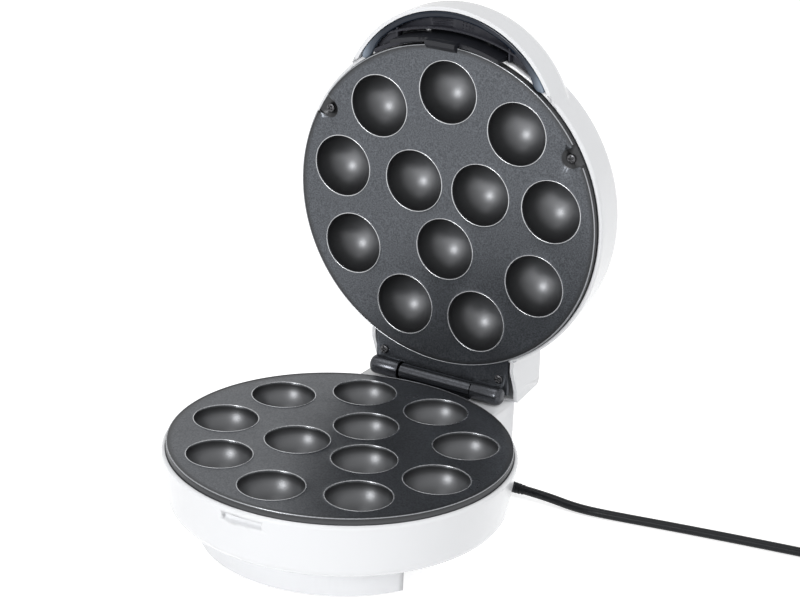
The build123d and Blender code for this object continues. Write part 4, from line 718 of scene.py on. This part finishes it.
class CAKEPOP_OT_plates(Operator):
    """Dresses the two cooking plates and adds their crisp corners and the rims of their cups"""

    bl_idname = "cake_pop.plates"
    bl_label = "Cooking plates"

    def execute(self, context):
        plate = settings().plate
        turned = TO_OPEN @ Matrix.Translation((0, 0, PLATE_GAP)) @ Matrix.Rotation(math.pi, 4, "X")
        mirrored = sorted((360 - end, 360 - begin) for begin, end in BETWEEN_TABS)
        # Painted light in the cups: each plate's levels are brightest at the depth where its cups' highlights fall,
        # about 6.5 mm down on the lower plate and at the bottom on the upper one, with painted shade on the walls
        # above and, on the lower plate, on the bottom below.
        lower_cup_light = ((0.001, 0.26), (0.004, 0.55), (0.0065, 1.0), (0.011, 0.8), (0.017, 0.3), (1, 0.3))
        upper_cup_light = ((0.001, 0.26), (0.010, 0.40), (0.0155, 0.7), (0.0185, 1.0), (1, 1.0))
        for node, face, spans, levels in (
            ("lower_plate", TO_ROW, WHOLE, lower_cup_light), ("upper_plate", turned, mirrored, upper_cup_light),
        ):
            piece = dressed_copy(node)
            painted_plate_light(piece, face, PLATE_HIGH.x - CENTRE.x, levels)
            place(piece, finish("cooking_plate"), BODY_OF[node], "cooking_plate", node)
            corner = mesh_object(node + "_corner", *plate_corner(plate, spans), face, angle=30)
            # The corner band takes the painted shade round the plate's edge as well.
            painted_plate_light(corner, face, PLATE_HIGH.x - CENTRE.x, levels)
            place(corner, finish("cooking_plate"), BODY_OF[node], "cooking_plate")
        for kind, look, lower, upper in (
            ("plate_edge", "edge", edge_line(plate, WHOLE), edge_line(plate, BETWEEN_TABS)),
            ("cup_rims", "cup_rim", cup_rims(plate), cup_rims(plate)),
        ):
            piece = mesh_object("lower_" + kind, *lower, TO_ROW, outward=False)
            place(piece, finish(look), "base", "cooking_plate")
            piece = mesh_object("upper_" + kind, turned_over(upper[0]), upper[1], TO_OPEN, outward=False)
            piece.data.flip_normals()
            place(piece, finish(look), "lid", "cooking_plate")
        return {"FINISHED"}


class CAKEPOP_OT_hinge(Operator):
    """Dresses the hinge brackets and the pin, and builds the domed knuckles"""

    bl_idname = "cake_pop.hinge"
    bl_label = "Hinge"

    def execute(self, context):
        for node in ("lid_hinge_bracket", "base_hinge_bracket", "hinge_pin"):
            look = "knuckle" if node == "base_hinge_bracket" else SLOT_OF[node]
            place(dressed_copy(node), finish(look), BODY_OF[node], SLOT_OF[node], node)
        size = {"radius": 0.0064, "start": 0.0277, "end": 0.0496, "curve": 0.0042}
        points, faces = gather([knuckle_sleeve(side, **size) for side in (-1, 1)])
        sleeves = mesh_object("domed_knuckles", points, faces, angle=40)
        place(sleeves, finish("knuckle"), "lid", SLOT_OF["lid_hinge_bracket"], "hinge_caps")
        return {"FINISHED"}


class CAKEPOP_OT_handle(Operator):
    """Builds the gloss trim, the liner's ends and the dots, and dresses the liner and the latch"""

    bl_idname = "cake_pop.handle"
    bl_label = "Handle and latch"

    def execute(self, context):
        handle = settings().handle
        points, faces = trim_surface(handle)
        trim = mesh_object("handle_trim_gloss", points, faces, TO_OPEN, angle=50)
        # The trim's tips get the pale painted reflection.
        paint_tip_reflection(trim, 0.050, 0.0655)
        place(trim, finish("gloss_black"), "lid", "gloss_black", "handle_trim")
        place(dressed_copy("handle_liner"), finish("matt_black"), "lid", "matt_black", "handle_liner")
        rows = [(a, r) for r in (0.0660, 0.0681, 0.0702) for a in np.arange(handle.dots)]
        turns = [(math.radians(-85.6 + 2.0 * a), r) for a, r in rows]
        spots = [(r * math.cos(a), handle.centre_y + r * math.sin(a)) for a, r in turns]
        pieces = [liner_end(side, 0.0400, 0.0570) for side in (-1, 1)]
        strip = [(0.1081, 0.0042), (0.1107, 0.0042), (LID_RIM, 0.0044), (LID_RIM, 0.0052), (0.1081, 0.0052)]
        pieces.append(closed_ring(strip, -121, -97))
        pieces += [slot_end(side, 0.0402, 0.0042, 0.0082) for side in (-1, 1)]
        ends = mesh_object("handle_liner_ends", *gather(pieces), TO_OPEN, angle=40)
        place(ends, finish("matt_black"), "lid", "matt_black")
        points, faces = dome_dots(spots, 0.0007, 0.0006, 0.0081)
        place(mesh_object("grip_dots", points, faces, TO_OPEN, outward=False), finish("matt_black"), "lid", "matt_black")
        place(dressed_copy("latch_lever"), finish("latch_black"), "latch", "latch_black", "latch_lever")
        return {"FINISHED"}


class CAKEPOP_OT_screws(Operator):
    """Builds the cross-head screws that show on the lid"""

    bl_idname = "cake_pop.screws"
    bl_label = "Visible screws"

    def execute(self, context):
        turn_over = Matrix.Rotation(math.pi, 4, "X")
        ring, pocket = 0.1010, 0.0034
        for node, spots, radius, turns in (
            ("upper_plate_screws", [(angle, 0) for angle in TAB_ANGLES], 0.0029, (0.35, 0.9)),
            ("lid_bracket_screws", [(0.0433, 0.111), (-0.0433, 0.111)], 0.0030, (0.6, 0.2)),
        ):
            pieces = []
            for (a, b), turn in zip(spots, turns):
                if node == "upper_plate_screws":
                    at = (ring * math.cos(math.radians(a)), ring * math.sin(math.radians(a)), pocket)
                else:
                    at = (a, b, 0.005)
                points, faces = cross_head(radius, 0.0018, turn)
                pieces.append((moved(points, Matrix.Translation(at) @ turn_over), faces))
                shank, shank_faces = lathe([(radius * 0.48, 0.0), (radius * 0.48, -0.010), (0.0, -0.0105)], 24)
                pieces.append((moved(shank, Matrix.Translation(at) @ turn_over), shank_faces))
            points, faces = gather(pieces)
            heads = mesh_object(node + "_heads", points, faces, TO_OPEN, angle=60)
            place(heads, finish("black_screw"), "lid", "black_screw", node)
        return {"FINISHED"}


class CAKEPOP_OT_lead(Operator):
    """Builds the mains lead, its strain relief and its plug"""

    bl_idname = "cake_pop.lead"
    bl_label = "Mains lead"

    def execute(self, context):
        lead = settings().lead
        points = moved(lead_points(lead), TO_ROW)
        curve = bpy.data.curves.new("mains_lead", "CURVE")
        curve.dimensions = "3D"
        curve.bevel_depth = lead.radius
        curve.bevel_resolution = 5
        curve.resolution_u = 10
        curve.use_fill_caps = True
        spline = curve.splines.new("NURBS")
        spline.points.add(len(points) - 1)
        spline.points.foreach_set("co", np.c_[points, np.ones(len(points))].ravel())
        spline.order_u = 3
        spline.use_endpoint_u = True
        cord = bpy.data.objects.new("mains_lead", curve)
        bpy.context.scene.collection.objects.link(cord)
        along = [(0.0, 0.0), (0.0040, 0.0), (0.0040, 0.0020), (0.0034, 0.0021), (0.0034, 0.0046), (0.0040, 0.0047)]
        for k in range(7):
            x = 0.0060 + 0.0024 * k
            r = 0.0041 - 0.00010 * k
            along += [(r, x), (r, x + 0.0013), (r - 0.0005, x + 0.0015), (r - 0.0005, x + 0.0023)]
        along += [(0.0034, 0.0235), (0.0031, 0.0245), (0.0, 0.0245)]
        points, faces = lathe(along, 40)
        turn = TO_ROW @ Matrix.Translation((0.0490, 0.1125, -0.0575)) @ Matrix.Rotation(math.pi / 2, 4, "Y")
        relief = mesh_object("strain_relief", points, faces, turn, angle=50)
        place(relief, finish("cord"), "base", "cord", "cord_strain_relief")
        at = TO_ROW @ Matrix.Translation((0.4080, 0.1570, -0.0538))
        plug = mesh_object("plug_grip", *plug_surface(), at, angle=50)
        place(plug, finish("cord"), "base", "cord", "plug")
        blades = mesh_object(
            "plug_blades", *gather([blade_surface(-0.00635), blade_surface(0.00635)]), at, angle=50
        )
        place(blades, finish("steel"), "base", "steel")
        place(cord, finish("cord"), "base", "cord", "power_cord", "cord_coil", "cord_tail")
        return {"FINISHED"}


class CAKEPOP_OT_inside(Operator):
    """Gives the pieces inside and underneath their finishes"""

    bl_idname = "cake_pop.inside"
    bl_label = "Inner pieces"

    def execute(self, context):
        for node, piece in NODES.items():
            if piece.hide_render:
                continue
            piece.data.materials.clear()
            piece.data.materials.append(finish(SLOT_OF[node]))
        return {"FINISHED"}


class CAKEPOP_OT_stage(Operator):
    """Builds the white floor, the room, the softboxes and the camera"""

    bl_idname = "cake_pop.stage"
    bl_label = "Studio"

    def execute(self, context):
        stage = settings().stage
        scene = context.scene
        scene.view_settings.view_transform = "Standard"
        world = scene.world or bpy.data.worlds.new("Room")
        scene.world = world
        world.use_nodes = True
        tree = world.node_tree
        background = tree.nodes["Background"]
        background.inputs["Color"].default_value = (1, 1, 1, 1)
        path = tree.nodes.new("ShaderNodeLightPath")
        seen = math_node(tree, "MAXIMUM", path.outputs["Is Camera Ray"], path.outputs["Is Glossy Ray"])
        seen = math_node(tree, "MAXIMUM", seen, path.outputs["Is Transmission Ray"])
        level = tree.nodes.new("ShaderNodeMapRange")
        where = tree.nodes.new("ShaderNodeTexCoord")
        split = tree.nodes.new("ShaderNodeSeparateXYZ")
        tree.links.new(where.outputs["Generated"], split.inputs[0])
        side = tree.nodes.new("ShaderNodeMapRange")
        side.inputs["From Min"].default_value = -0.2
        side.inputs["From Max"].default_value = 0.9
        side.inputs["To Min"].default_value = stage.room
        side.inputs["To Max"].default_value = stage.room * stage.right
        tree.links.new(split.outputs["X"], side.inputs["Value"])
        above = tree.nodes.new("ShaderNodeMapRange")
        above.inputs["To Min"].default_value = 1.0
        above.inputs["To Max"].default_value = stage.above
        tree.links.new(split.outputs["Z"], above.inputs["Value"])
        both = math_node(tree, "MULTIPLY", side.outputs["Result"], above.outputs["Result"])
        tree.links.new(both, level.inputs["To Min"])
        level.inputs["To Max"].default_value = 1.0
        tree.links.new(seen, level.inputs["Value"])
        tree.links.new(level.outputs["Result"], background.inputs["Strength"])

        floor = mesh_object("floor", np.array([(-6, -6, 0), (6, -6, 0), (6, 6, 0), (-6, 6, 0)], float), [(0, 1, 2, 3)])
        material, tree, shader = new_material("White table")
        shader.inputs["Base Color"].default_value = (0.9, 0.9, 0.9, 1)
        shader.inputs["Roughness"].default_value = 0.9
        path = tree.nodes.new("ShaderNodeLightPath")
        glow = tree.nodes.new("ShaderNodeEmission")
        glow.inputs["Color"].default_value = (1, 1, 1, 1)
        total = tree.nodes.new("ShaderNodeAddShader")
        switch = math_node(tree, "MAXIMUM", path.outputs["Is Camera Ray"], path.outputs["Is Glossy Ray"])
        tree.links.new(math_node(tree, "MULTIPLY", switch, stage.table), glow.inputs["Strength"])
        tree.links.new(shader.outputs["BSDF"], total.inputs[0])
        tree.links.new(glow.outputs["Emission"], total.inputs[1])
        tree.links.new(total.outputs["Shader"], tree.nodes["Material Output"].inputs["Surface"])
        floor.data.materials.append(material)

        middle = CENTRE + Vector((0, 0.04, 0.06))
        for name, azimuth, height, distance, size, power in (
            ("Key softbox", -9.0, 17.0, 1.9, 0.62, stage.key),
            ("Top softbox", -40.0, 70.0, 1.9, 1.2, stage.fill),
        ):
            a, e = math.radians(azimuth), math.radians(height)
            towards = Vector((math.sin(a) * math.cos(e), -math.cos(a) * math.cos(e), math.sin(e)))
            lamp = bpy.data.lights.new(name, "AREA")
            lamp.shape = "DISK"
            lamp.size = size
            lamp.energy = power
            holder = bpy.data.objects.new(name, lamp)
            scene.collection.objects.link(holder)
            holder.location = middle + towards * distance
            holder.rotation_euler = towards.to_track_quat("Z", "Y").to_euler()

        right = Vector((0.860903, 0.507035, 0.042481))
        back = Vector((0.459801, -0.811146, 0.361452))
        up = back.cross(right)
        camera_data = bpy.data.cameras.new("Camera")
        camera_data.lens = stage.lens
        camera_data.sensor_width = 36
        camera_data.clip_end = 50
        camera = bpy.data.objects.new("Camera", camera_data)
        scene.collection.objects.link(camera)
        turn = Matrix((right, up, back)).transposed().to_4x4()
        camera.matrix_world = Matrix.Translation(CENTRE + Vector((0.678075, -1.129429, 0.605635))) @ turn
        scene.camera = camera
        return {"FINISHED"}


STEPS = (
    CAKEPOP_OT_finishes, CAKEPOP_OT_stage, CAKEPOP_OT_lead, CAKEPOP_OT_mouldings, CAKEPOP_OT_plates, CAKEPOP_OT_hinge,
    CAKEPOP_OT_handle, CAKEPOP_OT_screws, CAKEPOP_OT_inside,
)


class CakePopSettings(PropertyGroup):
    """Every setting of the maker."""

    casing: PointerProperty(type=CasingSettings)
    plate: PointerProperty(type=PlateSettings)
    handle: PointerProperty(type=HandleSettings)
    lead: PointerProperty(type=LeadSettings)
    stage: PointerProperty(type=StageSettings)


class CAKEPOP_PT_sidebar(Panel):
    """Lists the maker's build steps and settings"""

    bl_label = "Cake Pop Maker"
    bl_idname = "CAKEPOP_PT_sidebar"
    bl_space_type = "VIEW_3D"
    bl_region_type = "UI"
    bl_category = "Cake Pop"

    def draw(self, context):
        for step in STEPS:
            self.layout.operator(step.bl_idname)
        for group in (settings().casing, settings().plate, settings().handle, settings().lead, settings().stage):
            box = self.layout.box()
            for name in group.__annotations__:
                box.prop(group, name)


CLASSES = (
    CasingSettings, PlateSettings, HandleSettings, LeadSettings, StageSettings, CakePopSettings, *STEPS,
    CAKEPOP_PT_sidebar,
)


def register():
    for item in CLASSES:
        bpy.utils.register_class(item)
    bpy.types.Scene.cake_pop = PointerProperty(type=CakePopSettings)


def unregister():
    del bpy.types.Scene.cake_pop
    for item in reversed(CLASSES):
        bpy.utils.unregister_class(item)


def main():
    """Registers the add-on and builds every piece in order."""
    register()
    for step in STEPS:
        group, name = step.bl_idname.split(".")
        getattr(getattr(bpy.ops, group), name)()
    bpy.context.view_layer.update()


if __name__ == "__main__":
    main()
